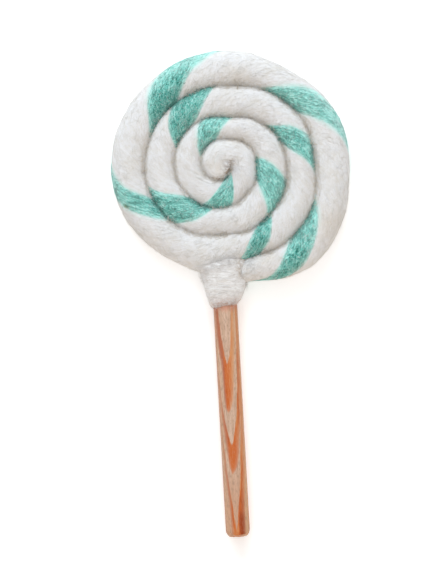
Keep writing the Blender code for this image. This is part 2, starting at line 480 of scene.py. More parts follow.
@dataclass(frozen=True)
class FibreFinish(Finish):
    """Loose wool fibres, each somewhere between two colours."""

    dark: Colour = (0.66, 0.63, 0.585)
    light: Colour = (0.85, 0.85, 0.84)
    wobble: float = 0.3

    def build(self) -> bpy.types.Material:
        """Make the material.

        Returns:
            The finished material.
        """
        material, graph, shader = self.start()
        wobble = graph.times(graph.noise(graph.place(), 600.0, 1.0), self.wobble)
        share = graph.plus(graph.carried("tint"), wobble, -self.wobble / 2.0)
        graph.feed(shader.inputs["Base Color"], graph.mix(graph.ease(share, 0.0, 1.0), self.dark, self.light))
        graph.feed(shader.inputs["Sheen Weight"], 0.3)
        return material


@dataclass(frozen=True)
class WoodFinish(Finish):
    """Bare softwood with pointed growth lines.

    The mesh carries how far each point is inside the outer and the inner outline of each line,
    and how red the line is there. The colours of the pale wood come first, with the painted shadow
    below the collar last among them, then those of the lines.
    """

    pale: Colour = (0.58, 0.38, 0.27)
    cream: Colour = (0.70, 0.49, 0.37)
    tan: Colour = (0.74, 0.42, 0.22)
    pore: Colour = (0.34, 0.21, 0.15)
    low_pale: Colour = (0.60, 0.33, 0.21)
    # Warm painted shadow of the collar on the wood just below its mouth
    collar_shadow: Colour = (0.66, 0.30, 0.21)
    rust: Colour = (0.47, 0.165, 0.09)
    orange: Colour = (0.66, 0.285, 0.11)
    red: Colour = (0.57, 0.13, 0.026)
    dark: Colour = (0.34, 0.055, 0.010)
    relief: float = 0.0001
    raggedness: float = 0.35

    def _lines(self, graph: Graph, long: Socket, wander: Socket) -> Socket:
        """Find the growth lines.

        Args:
            graph: The material's graph.
            long: Place on the stick, drawn out along the grain.
            wander: How far the lines stray.

        Returns:
            How much of a line's colour shows.
        """
        jag = graph.times(graph.sway(long, 6.0, 2.0), self.raggedness)
        shift = graph.plus(graph.times(wander, self.raggedness), jag)
        outlines = [graph.parts(graph.carried(name, "Vector")) for name in ("line_outer", "line_inner")]
        lines: Input = 0.0
        for outer, inner in zip(*outlines):
            depth = graph.plus(outer, shift)
            sharp = graph.times(graph.ease(depth, -0.15, 0.25), 0.65)
            soft = graph.times(graph.ease(depth, 0.1, 0.8), 0.35)
            inside = graph.ease(graph.plus(inner, shift), 0.2, -0.15)
            lines = graph.math("MAXIMUM", graph.times(graph.plus(sharp, soft), inside), lines)
        return lines

    def _between(self, graph: Graph, long: Socket, short: Socket, along: Socket, fine: Socket) -> Socket:
        """Colour the pale wood between the growth lines.

        Args:
            graph: The material's graph.
            long: Place on the stick, drawn out along the grain.
            short: The same, drawn out less.
            along: Distance from the tip in millimetres.
            fine: The finest grain.

        Returns:
            The colour.
        """
        pale = graph.mix(graph.ease(graph.noise(long, 2.2, 3.0), 0.38, 0.62), self.pale, self.cream)
        specks = graph.times(graph.ease(graph.noise(short, 2.4, 2.0), 0.46, 0.70), 0.5)
        for share, colour in (
            (graph.times(graph.ease(along, 30.0, 10.0), 0.7), self.low_pale),
            (graph.times(graph.carried("warmth"), 0.6), self.tan),
            (graph.plus(specks, graph.times(graph.ease(fine, 0.48, 0.75), 0.35)), self.pore),
        ):
            pale = graph.mix(share, pale, colour)
        return pale

    def _line_colour(self, graph: Graph, long: Socket, across: Socket) -> Socket:
        """Colour the growth lines.

        Args:
            graph: The material's graph.
            long: Place on the stick, drawn out along the grain.
            across: Distance from the stick's axis in millimetres.

        Returns:
            The colour.
        """
        redness = graph.plus(graph.carried("redness"), graph.times(graph.sway(long, 4.0, 4.0), 2.2))
        late = graph.mix(graph.ease(redness, 0.0, 1.0), self.orange, self.red)
        late = graph.mix(graph.ease(redness, 1.0, 1.9), late, self.dark)
        return graph.mix(graph.times(graph.ease(across, -1.0, -2.2), 0.8), late, self.rust)

    def build(self) -> bpy.types.Material:
        """Make the material.

        Returns:
            The finished material.
        """
        material, graph, shader = self.start()
        grain = graph.carried("grain", "Vector")
        long, short = (
            graph.node("ShaderNodeMapping", {"Vector": grain, "Scale": (1.0, shrunk, 1.0)}).outputs[0]
            for shrunk in (0.06, 0.25)
        )
        across, along, _ = graph.parts(grain)
        wander = graph.sway(long, 1.5, 3.0)
        fine = graph.noise(long, 12.0, 2.0)
        strength = graph.times(self._lines(graph, long, wander), graph.ease(fine, 0.0, 0.5))
        pale = self._between(graph, long, short, along, fine)
        mixed = graph.mix(strength, pale, self._line_colour(graph, long, across))
        # Warm painted shadow of the collar, on the wood just below its mouth
        near = graph.ease(graph.plus(along, graph.times(wander, 4.0)), 74.4, 76.6)
        graph.feed(shader.inputs["Base Color"], graph.mix(graph.times(near, 0.65), mixed, self.collar_shadow))
        graph.feed(shader.inputs["Normal"], graph.bump(fine, 0.6, self.relief))
        return material


@dataclass(frozen=True)
class FloorFinish(Finish):
    """Plain matt white paper, lit a little from behind."""

    specular: float = 0.0
    white: Colour = (0.93, 0.93, 0.93)
    tooth: float = 0.995
    glow: float = 0.28

    def build(self) -> bpy.types.Material:
        """Make the material.

        Returns:
            The finished material.
        """
        material, graph, shader = self.start()
        dimmer = tuple(value * self.tooth for value in self.white)
        paper = graph.mix(graph.noise(graph.place(), 90.0, 1.0), self.white, dimmer)
        graph.feed(shader.inputs["Base Color"], paper)
        graph.feed(shader.inputs["Emission Color"], (1.0, 1.0, 1.0))
        graph.feed(shader.inputs["Emission Strength"], self.glow)
        return material


# Meshes


def grid_faces(rows: int, columns: int) -> np.ndarray:
    """Faces of a grid that closes round on itself.

    Args:
        rows: Number of rings.
        columns: Points in each ring.

    Returns:
        Four point numbers for each face.
    """
    row = np.arange(rows - 1)[:, None] * columns
    here = np.arange(columns)[None, :]
    after = (here + 1) % columns
    faces = np.stack([row + here, row + after, row + after + columns, row + here + columns], -1)
    return faces.reshape(-1, 4)


@dataclass
class Shell:
    """A mesh in the making.

    Attributes:
        points: One row of x, y and z in millimetres for each point.
        faces: Faces of four points.
        caps: Faces with any number of points.
    """

    points: np.ndarray
    faces: np.ndarray
    caps: list[list[int]]

    @classmethod
    def closed(cls, grid: np.ndarray) -> Shell:
        """Close a grid round on itself and over its first and last ring.

        Args:
            grid: Points by row and column.

        Returns:
            The mesh in the making.
        """
        rows, columns = grid.shape[:2]
        first = list(range(columns))
        last = [(rows - 1) * columns + index for index in first]
        return cls(grid.reshape(-1, 3), grid_faces(rows, columns), [first[::-1], last])

    def piece(self, name: str, material: bpy.types.Material, slot: str) -> bpy.types.Object:
        """Make the object, in metres.

        Args:
            name: The piece's name.
            material: Its finish.
            slot: The material slot of the record, which is not used.

        Returns:
            The new object, riding on the body.
        """
        mesh = bpy.data.meshes.new(name)
        sizes = [4] * len(self.faces) + [len(cap) for cap in self.caps]
        corners = np.concatenate([self.faces.ravel(), *[np.array(cap) for cap in self.caps]])
        mesh.vertices.add(len(self.points))
        mesh.vertices.foreach_set("co", (self.points * MM).astype(np.float32).ravel())
        mesh.loops.add(len(corners))
        mesh.loops.foreach_set("vertex_index", corners.astype(np.int32))
        mesh.polygons.add(len(sizes))
        starts = np.concatenate([[0], np.cumsum(sizes)[:-1]]).astype(np.int32)
        mesh.polygons.foreach_set("loop_start", starts)
        mesh.polygons.foreach_set("use_smooth", np.ones(len(sizes), bool))
        mesh.update(calc_edges=True)
        mesh.validate()
        mesh.materials.append(material)
        piece = bpy.data.objects.new(name, mesh)
        bpy.context.scene.collection.objects.link(piece)
        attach(piece, "root")
        LOG.info("%s: %d faces", name, len(sizes))
        return piece


def carry(piece: bpy.types.Object, **layers: np.ndarray) -> None:
    """Store values on the mesh for its material to read.

    Args:
        piece: The object.
        **layers: One number or one vector for each point, under the name that the material asks for.
    """
    for name, values in layers.items():
        vector = values.ndim > 1 and values.shape[-1] == 3
        layer = piece.data.attributes.new(name, "FLOAT_VECTOR" if vector else "FLOAT", "POINT")
        layer.data.foreach_set("vector" if vector else "value", values.astype(np.float32).ravel())


def lay_out(piece: bpy.types.Object, corners: np.ndarray) -> None:
    """Store the texture place of each face corner."""
    layer = piece.data.uv_layers.new(name="OFBake")
    layer.data.foreach_set("uv", corners.astype(np.float32).ravel())


def unfold(piece: bpy.types.Object, along: np.ndarray, columns: int, strips: int) -> None:
    """Lay a closed grid's texture out flat in strips, with its two caps beside them.

    Args:
        piece: The object.
        along: Distance of each ring along the surface.
        columns: Points in each ring.
        strips: Number of strips.
    """
    place = along / along[-1] * strips * 0.999
    strip = np.floor((place[1:] + place[:-1]) / 2.0)[:, None, None]
    side = np.arange(columns)[None, :, None] + np.array([0.0, 1.0, 1.0, 0.0])
    near = np.stack([place[:-1], place[:-1], place[1:], place[1:]], -1)[:, None, :]
    flat = joined(0.02 + 0.9 * (near - strip), (strip + 0.03 + 0.94 * side / columns) / strips)
    turned = np.linspace(0.0, 2.0 * math.pi, columns, endpoint=False)
    circle = np.stack([np.cos(turned), np.sin(turned)], -1) * 0.012
    lay_out(piece, np.concatenate([flat.reshape(-1, 2), circle + (0.97, 0.25), circle + (0.97, 0.75)]))


@dataclass
class FeltSkin:
    """A felt surface as a grid: rows along it and columns round it.

    Attributes:
        points: Places in millimetres, by row and column.
        along: Distance of each row along the surface.
        strand: Place of each point along and round the strands.
        edge: Distance from the stripe's edge, negative inside the stripe.
        open: Where the surface can be seen.
        twist: Slope of the strands, in columns for each row.
        crease: Where fibres reach over to the next turn of the rope.
        side: How far each point has turned down into a crease, from 0 to 1.
    """

    points: np.ndarray
    along: np.ndarray
    strand: np.ndarray
    edge: np.ndarray
    open: np.ndarray
    twist: np.ndarray
    crease: np.ndarray
    side: np.ndarray

    def normals(self) -> np.ndarray:
        """Find the outward normals.

        Returns:
            A vector of length 1 for each point of the grid.
        """
        down = np.gradient(self.points, axis=0)
        closed = np.concatenate([self.points[:, -1:], self.points, self.points[:, :1]], axis=1)
        normal = unit(np.cross((closed[:, 2:] - closed[:, :-2]) / 2.0, down))
        middle = self.points.mean(axis=1, keepdims=True)
        return normal * np.sign((normal * (self.points - middle)).sum(-1).mean())

    def push(self, amount: np.ndarray) -> None:
        """Move each point outward by its own distance."""
        self.points = self.points + self.normals() * amount[..., None]

    @staticmethod
    def sample(grid: np.ndarray, row: np.ndarray, column: np.ndarray) -> np.ndarray:
        """Read a grid between its points.

        Args:
            grid: Values by row and column.
            row: Rows to read, with fractions.
            column: Columns to read, with fractions.

        Returns:
            The values there.
        """
        rows, columns = grid.shape[:2]
        row = np.clip(row, 0, rows - 1.001)
        low, side = np.floor(row).astype(int), np.floor(column).astype(int)
        down, across = row - low, column - side
        if grid.ndim > 2:
            down, across = down[..., None], across[..., None]
        first, later = (
            grid[line, side % columns] * (1 - across) + grid[line, (side + 1) % columns] * across
            for line in (low, low + 1)
        )
        return first * (1 - down) + later * down


# Fibres


class Zone(Enum):
    """Where a kind of fibre lies: between which distances from the stripe's edge it may start."""

    ANYWHERE = (-math.inf, math.inf)
    WHITE = (-0.2, math.inf)
    STRIPE = (-math.inf, 0.1)
    CREASE = (0.3, math.inf)
    DYED_CREASE = (-math.inf, -0.3)

    @property
    def bridges(self) -> bool:
        """Whether the fibres reach over a crease."""
        return self in (Zone.CREASE, Zone.DYED_CREASE)

    @property
    def slot(self) -> str:
        """The material slot of the rope's wool there."""
        return "teal_wool" if self in (Zone.STRIPE, Zone.DYED_CREASE) else "white_wool"


@dataclass(frozen=True)
class Tuft:
    """A small bunch of fibres.

    Attributes:
        x: Distance to the right of the middle of the head.
        y: Distance above it.
        spread: Width of the bunch.
    """

    x: float
    y: float
    spread: float


@dataclass(frozen=True)
class FibreKind:
    """One kind of loose fibre.

    Attributes:
        name: The piece's name.
        count: Number of fibres.
        length: Shortest and longest, in millimetres.
        radius: Half the thickness.
        lift: Least and most that the middle stands off the felt.
        stray: Spread of the direction round the strands', in degrees.
        curl: How much a fibre bends over its length, in degrees.
        free: Share of fibres with one end standing off.
        seed: Seed of the random numbers.
        finish: What the fibres look like.
        zone: Where they lie.
        tufts: Bunches that they stand in, or none where they lie all over.
    """

    name: str
    count: int
    length: tuple[float, float]
    radius: float
    lift: tuple[float, float]
    stray: float
    curl: float
    free: float
    seed: int
    finish: FibreFinish
    zone: Zone = Zone.ANYWHERE
    tufts: tuple[Tuft, ...] = ()


class FibreCoat:
    """Lays loose fibres on a felt skin and makes them into one mesh."""

    STEPS = 5
    SIDES = 3
    SINK = 0.04
    OVERHANG = 0.6
    ROOT_SHARE = 0.4
    TIP_SHARE = 0.3
    LOW_SHARE = 0.35
    LOWEST_UP = -0.25
    LOWEST_TUFT_UP = -0.1
    TOP_PULL = 0.02
    LOOSE_LIFT = 1.4

    def __init__(self, skin: FeltSkin, kind: FibreKind, layout: Layout) -> None:
        """Lay this kind of fibre on this skin.

        Args:
            skin: The felt.
            kind: The kind of fibre.
            layout: Where the parts of the object are.
        """
        self.skin = skin
        self.kind = kind
        self.layout = layout
        self.random = np.random.default_rng(kind.seed)

    def _tuft_starts(self) -> tuple[np.ndarray, np.ndarray]:
        """Draw places in the bunches where fibres may start.

        Returns:
            A row and a column for each place.
        """
        skin, kind, random = self.skin, self.kind, self.random
        pick = random.integers(len(kind.tufts), size=kind.count)
        table = np.array([(tuft.x, tuft.y, tuft.spread) for tuft in kind.tufts])[pick]
        places = table[:, :2] + random.normal(0.0, 1.0, (kind.count, 2)) * table[:, 2:]
        places = places + np.array([self.layout.head_x, self.layout.head_y])
        seen = skin.open & (skin.normals()[..., 2] > self.LOWEST_TUFT_UP)
        flat = skin.points[seen]
        pull = self.TOP_PULL * flat[:, 2]
        near = [((flat[:, :2] - place) ** 2).sum(-1) - pull for place in places]
        picked = np.argwhere(seen)[[values.argmin() for values in near]].astype(float)
        row = np.clip(picked[:, 0], 2, skin.points.shape[0] - 3)
        return row, picked[:, 1] + random.random(kind.count)

    def _starts(self) -> tuple[np.ndarray, np.ndarray]:
        """Draw places all over the felt where fibres may start.

        Returns:
            A row and a column for each place that fits the zone.
        """
        skin, count = self.skin, self.kind.count
        rows, columns = skin.points.shape[:2]
        row = self.random.uniform(2, rows - 3, count)
        column = self.random.uniform(0, columns, count)
        near = (row.astype(int), column.astype(int) % columns)
        least, most = self.kind.zone.value
        keep = skin.open[near] & (skin.edge[near] > least) & (skin.edge[near] < most)
        up = skin.normals()[near][:, 2]
        keep &= (up > self.LOWEST_UP) | (self.random.random(count) < self.LOW_SHARE)
        if self.kind.zone.bridges:
            keep &= skin.crease[near]
        return row[keep], column[keep]

    def _paths(self) -> tuple[np.ndarray, np.ndarray]:
        """Trace every fibre.

        Returns:
            Points and felt normals, by fibre and step.
        """
        points, normals = np.empty((2, 0, self.STEPS, 3))
        starts = self._tuft_starts if self.kind.tufts else self._starts
        trace = self._bridge if self.kind.zone.bridges else self._trace
        while len(points) < self.kind.count:
            more_points, more_normals = trace(*starts())
            points = np.concatenate([points, more_points])
            normals = np.concatenate([normals, more_normals])
        return points[: self.kind.count], normals[: self.kind.count]

    def _trace(self, row: np.ndarray, column: np.ndarray) -> tuple[np.ndarray, np.ndarray]:
        """Trace fibres over the felt from where they start.

        Args:
            row: Row of each start.
            column: Column of each start.

        Returns:
            Points and felt normals of the fibres that keep to their zone, by fibre and step.
        """
        skin, kind, random, count = self.skin, self.kind, self.random, len(row)
        near = (row.astype(int), column.astype(int) % skin.points.shape[1])
        ring = np.linalg.norm(np.diff(skin.points, axis=1), axis=-1).mean(axis=1)
        row_step = np.linalg.norm(np.diff(skin.points, axis=0), axis=-1)
        down_size = np.maximum(row_step[near], 0.05)
        side_size = np.maximum(ring[near[0]], 0.02)
        heading = np.arctan2(skin.twist[near[0]] * side_size, down_size)
        heading = heading + np.radians(random.normal(0.0, kind.stray, count))
        heading = heading + np.where(random.random(count) < 0.5, math.pi, 0.0)
        bend = np.radians(random.normal(0.0, kind.curl, count))
        wave = np.radians(random.normal(0.0, kind.curl * 0.5, count))
        phase = random.uniform(0.0, 2.0 * math.pi, count)
        part = np.linspace(0.0, 1.0, self.STEPS)[None, :]
        turned = heading[:, None] + bend[:, None] * part
        turned = turned + wave[:, None] * np.sin(2.0 * math.pi * part + phase[:, None])
        step = random.uniform(*kind.length, count)[:, None] / (self.STEPS - 1)
        rows = row[:, None] + np.cumsum(np.cos(turned) * step, axis=1) / down_size[:, None]
        columns = column[:, None] + np.cumsum(np.sin(turned) * step, axis=1) / side_size[:, None]
        rows = np.clip(rows, 1.0, skin.points.shape[0] - 2.0)
        points = skin.sample(skin.points, rows, columns)
        normals = unit(skin.sample(skin.normals(), rows, columns))
        lift = random.uniform(*kind.lift, count)[:, None]
        arch = np.sin(math.pi * part) * lift
        loose = part**1.6 * lift * self.LOOSE_LIFT
        height = np.where(random.random((count, 1)) < kind.free, loose, arch) - self.SINK
        points = points + normals * height[..., None]
        points[..., 2] = np.maximum(points[..., 2], kind.radius)
        edge = skin.sample(skin.edge, rows, columns)
        keep = np.ones(count, bool)
        if kind.zone is Zone.WHITE:
            keep = edge.min(axis=1) > -2.0 * self.OVERHANG
        elif kind.zone is Zone.STRIPE:
            keep = edge.max(axis=1) < self.OVERHANG
        return points[keep], normals[keep]

    def _bridge(self, row: np.ndarray, column: np.ndarray) -> tuple[np.ndarray, np.ndarray]:
        """Trace fibres that reach over a crease to the next turn of the rope.

        Args:
            row: Row of each start.
            column: Column of each start.

        Returns:
            Points and the upward direction, by fibre and step.
        """
        skin, kind, random, count = self.skin, self.kind, self.random, len(row)
        start = skin.sample(skin.points, row, column)
        lean = skin.sample(skin.normals(), row, column)
        heading = np.arctan2(lean[:, 1], lean[:, 0]) + np.radians(random.normal(0.0, kind.stray, count))
        bend = np.radians(random.normal(0.0, kind.curl, count))
        part = np.linspace(0.0, 1.0, self.STEPS)[None, :]
        turned = heading[:, None] + bend[:, None] * part
        step = random.uniform(*kind.length, count)[:, None] / (self.STEPS - 1)
        run = np.stack([np.cos(turned) * step, np.sin(turned) * step], -1)
        rise = np.sin(math.pi * part) * random.uniform(*kind.lift, count)[:, None]
        height = start[:, None, 2] + rise - self.SINK * 2.0
        flat = start[:, None, :2] + np.cumsum(run, axis=1) - run[:, :1]
        points = np.concatenate([flat, height[..., None]], -1)
        return points, np.broadcast_to(np.array([0.0, 0.0, 1.0]), points.shape)

    def piece(self, slot: str) -> bpy.types.Object:
        """Make the fibres.

        Args:
            slot: The material slot of the record that they take after.

        Returns:
            The object.
        """
        paths, normals = self._paths()
        count, steps = paths.shape[:2]
        tangent = unit(np.gradient(paths, axis=1))
        side = unit(np.cross(tangent, normals))
        up = np.cross(side, tangent)
        taper = np.full(steps, self.kind.radius)
        taper[0] *= self.ROOT_SHARE
        taper[-1] *= self.TIP_SHARE
        angles = [2.0 * math.pi * index / self.SIDES + math.pi / 2.0 for index in range(self.SIDES)]
        offsets = [side * math.cos(angle) + up * math.sin(angle) for angle in angles]
        points = np.stack([paths + offset * taper[None, :, None] for offset in offsets], axis=2)
        starts = np.arange(count) * steps * self.SIDES
        one = grid_faces(steps, self.SIDES)
        faces = (one[None] + starts[:, None, None]).reshape(-1, 4)
        last = (steps - 1) * self.SIDES
        caps = [[start + 2, start + 1, start] for start in starts.tolist()]
        caps += [[start + last, start + last + 1, start + last + 2] for start in starts.tolist()]
        finish = self.kind.finish
        material = bpy.data.materials.get(finish.name) or finish.build()
        piece = Shell(points.reshape(-1, 3), faces, caps).piece(self.kind.name, material, slot)
        carry(piece, tint=np.repeat(self.random.random(count), steps * self.SIDES))
        self._unwrap(piece, count, len(one))
        return piece

    @staticmethod
    def _unwrap(piece: bpy.types.Object, count: int, each: int) -> None:
        """Give every fibre its own small cell of the texture.

        Args:
            piece: The fibres.
            count: Number of fibres.
            each: Side faces of one fibre.
        """
        cells = math.ceil(math.sqrt(count))
        number = np.arange(count)
        corner = np.stack([number % cells, number // cells], -1) / cells
        square = np.array([[0.3, 0.3], [0.7, 0.3], [0.7, 0.7], [0.3, 0.7]]) / cells
        sides = np.repeat(corner, each, axis=0)[:, None, :] + square[None]
        triangle = (corner[:, None, :] + square[None, :3]).reshape(-1, 2)
        lay_out(piece, np.concatenate([sides.reshape(-1, 2), triangle, triangle]))


# The head


@dataclass(frozen=True)
class SeamSpiral:
    """The spiral crease between one turn of the rope and the next.

    Attributes:
        zero_angle: Angle at which the count of turns starts.
        first_radius: Radius one turn before that, which the core rounds off.
        pitch: Growth of the radius over the first turn.
        growth: How much more it grows over each later turn.
        core_radius: Least radius, at the middle of the coil.
        core_softness: How gently the spiral comes to it.
        climb: Share of a turn's growth that is reached at even steps round the turn.
        swells: Angle, height and width in degrees of each bulge of the crease, inward where negative.
        nudges: Angles and small shifts of the crease at them.
        nudge_blur: Degrees over which the shifts are blurred.
        nudge_start: Angles between which the shifts set in.
    """

    zero_angle: float = 243.2
    first_radius: float = -3.33
    pitch: float = 9.85
    growth: float = 0.354
    core_radius: float = 0.3
    core_softness: float = 1.5
    climb: tuple[float, ...] = (0.0, 0.11, 0.14, 0.10, 0.01, 0.13, 0.20, 0.19, 0.33, 0.40, 0.53, 0.81)
    swells: Triples = (
        (321.0, 2.3, 42.0), (398.0, 0.9, 45.0), (548.0, 0.9, 18.0), (723.0, -0.4, 14.0),
        (1023.0, -0.6, 30.0), (1253.0, -1.5, 14.0), (1277.0, 2.0, 7.0), (1390.0, -0.5, 20.0),
        (1445.0, 0.9, 15.0), (1475.0, -1.5, 13.0), (1579.0, 0.8, 14.0), (1615.0, -4.9, 13.8),
    )
    nudges: Pairs = (
        (330.0, 0.3), (360.0, 0.8), (376.0, 0.8), (392.0, 0.4), (412.0, 0.5), (428.0, 0.1),
        (492.0, -0.15), (512.0, -0.2), (528.0, 0.4), (560.0, 0.0), (604.0, -0.3), (616.0, 0.3),
        (628.0, 0.0), (644.0, 0.4), (700.0, 0.4), (736.0, 0.1), (756.0, -0.1), (800.0, 0.4),
        (820.0, 0.6), (850.0, -0.1), (868.0, 0.0), (888.0, 0.75), (897.0, 0.1), (912.0, -0.75),
        (932.0, -0.3), (960.0, -0.3), (990.0, 0.0), (1008.0, -0.3), (1050.0, -0.4), (1076.0, 0.0),
        (1100.0, 0.0), (1125.0, -0.5), (1144.0, -0.25), (1156.0, -0.9), (1178.0, -0.75),
        (1195.0, -0.1), (1212.0, -0.4), (1232.0, 0.0), (1242.0, -0.5), (1257.0, 0.0),
    )
    nudge_blur: float = 5.0
    nudge_start: tuple[float, float] = (315.0, 345.0)

    def radius(self, angle: np.ndarray) -> np.ndarray:
        """Distance of the crease from the middle of the head.

        Args:
            angle: Angles on the head.

        Returns:
            Radii in millimetres.
        """
        knots = np.array(self.climb)
        count = len(knots)
        steps = (angle - self.zero_angle) * count / 360.0
        whole = np.floor(steps).astype(int)
        part = steps - whole
        before, first, second, after = (
            knots[(whole + shift) % count] + (whole + shift) // count for shift in (-1, 0, 1, 2)
        )
        bend = 2.0 * before - 5.0 * first + 4.0 * second - after
        twist = 3.0 * (first - second) + after - before
        turns = 1.0 + first + 0.5 * part * (second - before + part * (bend + part * twist))
        radius = self.first_radius + self.pitch * turns + self.growth * turns * (turns - 1.0) / 2.0
        for middle, rise, spread in self.swells:
            radius = radius + rise * np.exp(-(((angle - middle) / spread) ** 2) / 2.0)
        places, shifts = np.array(self.nudges).T
        lags = np.linspace(-self.nudge_blur, self.nudge_blur, 5)
        nudge = np.mean([np.interp(angle + lag, places, shifts) for lag in lags], axis=0)
        over = radius + nudge * smooth_share(angle, *self.nudge_start) - self.core_radius
        return self.core_radius + (over + np.hypot(over, self.core_softness)) / 2.0


@dataclass(frozen=True)
class StripeWinding:
    """The teal band that winds round the rope.

    Attributes:
        crossings: For each time that the band comes up on top, the angles on the head where its
            leading edge passes each of the five heights, then those of its trailing edge.
        heights: Degrees round the rope from its top, from the inner side to the outer one.
        leans: Degrees round the rope from its top at which the painted light is given.
        teal_light_table: Painted light on the band at each crossing and lean: a painted highlight
            where positive and painted shade where negative.
        start: Angle where the band begins.
        blur: Half the length over which its corners are rounded, in degrees on the head.
    """

    crossings: Rows = (
        (164.0, 167.0, 170.0, 175.0, 181.0, 203.0, 208.5, 211.5, 215.0, 219.0),
        (295.0, 303.5, 318.0, 326.5, 335.0, 336.0, 344.5, 353.0, 360.5, 366.0),
        (431.0, 438.5, 449.0, 460.5, 467.5, 475.0, 485.0, 494.0, 500.0, 506.0),
        (563.0, 569.0, 575.0, 584.0, 588.0, 594.0, 602.0, 610.0, 615.5, 622.0),
        (653.0, 657.5, 665.0, 674.5, 681.0, 679.0, 692.5, 701.0, 708.5, 714.0),
        (765.0, 772.0, 778.0, 787.0, 797.0, 788.0, 796.0, 803.0, 810.0, 816.0),
        (859.0, 864.5, 871.0, 878.5, 885.0, 877.0, 883.5, 889.0, 894.0, 897.0),
        (949.0, 956.5, 963.5, 969.5, 975.0, 971.0, 974.5, 978.5, 983.5, 990.0),
        (1012.0, 1021.5, 1029.0, 1036.5, 1045.0, 1044.0, 1050.5, 1058.0, 1066.5, 1073.0),
        (1105.0, 1111.0, 1120.0, 1127.5, 1141.0, 1133.0, 1139.0, 1146.0, 1153.0, 1159.0),
        (1192.0, 1199.0, 1211.0, 1223.0, 1231.5, 1221.0, 1227.5, 1234.0, 1239.0, 1244.0),
    )
    heights: tuple[float, ...] = (-60.0, -30.0, 0.0, 30.0, 60.0)
    leans: tuple[float, ...] = (-55.0, -20.0, 20.0, 55.0)
    # Painted highlight where positive, painted shade where negative
    teal_light_table: Rows = (
        (2.2, 0.9, 0.1, 0.5), (1.5, 0.0, 0.7, 0.4), (-0.1, 0.8, 0.5, 0.9), (-0.6, 0.9, 0.2, 0.2),
        (-0.1, -1.1, -0.6, -1.3), (0.5, 0.4, 0.4, 1.0), (-0.8, -0.6, -1.3, -0.7),
        (-0.8, 0.5, 0.5, 1.0), (-1.2, -1.5, 0.4, 1.6), (0.9, 0.7, 1.3, 2.8), (1.0, 0.3, -0.8, -0.5),
    )
    start: float = 156.0
    blur: float = 4.0

    def edges(self, angle: np.ndarray) -> tuple[np.ndarray, np.ndarray]:
        """Where the band's leading and trailing edges are round the rope.

        Args:
            angle: Angles on the head.

        Returns:
            Degrees from the rope's top, growing by 360 with each winding.
        """
        table = np.array(self.crossings)
        heights = np.array(self.heights)[None, :] + 360.0 * np.arange(len(table))[:, None]
        heights = np.concatenate([[heights.min() - 300.0], heights.ravel(), [heights.max() + 300.0]])
        shifts = np.linspace(-self.blur, self.blur, 7)
        found = []
        for columns in np.split(table, 2, axis=1):
            places = columns.ravel()
            places = np.concatenate([[places[0] - 110.0], places, [places[-1] + 80.0]])
            found.append(np.mean([np.interp(angle + shift, places, heights) for shift in shifts], 0))
        return found[0], found[1]

    def painted_teal_light(self, angle: np.ndarray, lean: np.ndarray) -> np.ndarray:
        """Painted light on the band: a highlight where positive and shade where negative.

        Args:
            angle: Angles on the head.
            lean: Degrees round the rope from its top.

        Returns:
            A value for each angle and each lean.
        """
        middles = np.array(self.crossings)[:, [2, 7]].mean(axis=1)
        values = [np.interp(angle, middles, column) for column in np.array(self.teal_light_table).T]
        shares = [np.interp(lean, self.leans, row) for row in np.eye(len(self.leans))]
        return np.stack(values, -1) @ np.stack(shares) * smooth_share(-np.abs(lean), -105.0, -65.0)


@dataclass(frozen=True)
class Spot:
    """A small round place on the head.

    Attributes:
        angle: Where it is on the head.
        radius: How far it is from the middle.
        strength: How deep it is, or how high where negative. For a patch of painted shade, how dark it is.
        size: How wide it is.
    """

    angle: float
    radius: float
    strength: float
    size: float

    def over(self, points: np.ndarray, layout: Layout) -> np.ndarray:
        """Its strength at each point, falling off from its middle."""
        x, y = layout.on_head(self.angle, self.radius)
        return self.strength * bell(np.hypot(points[..., 0] - x, points[..., 1] - y), self.size)


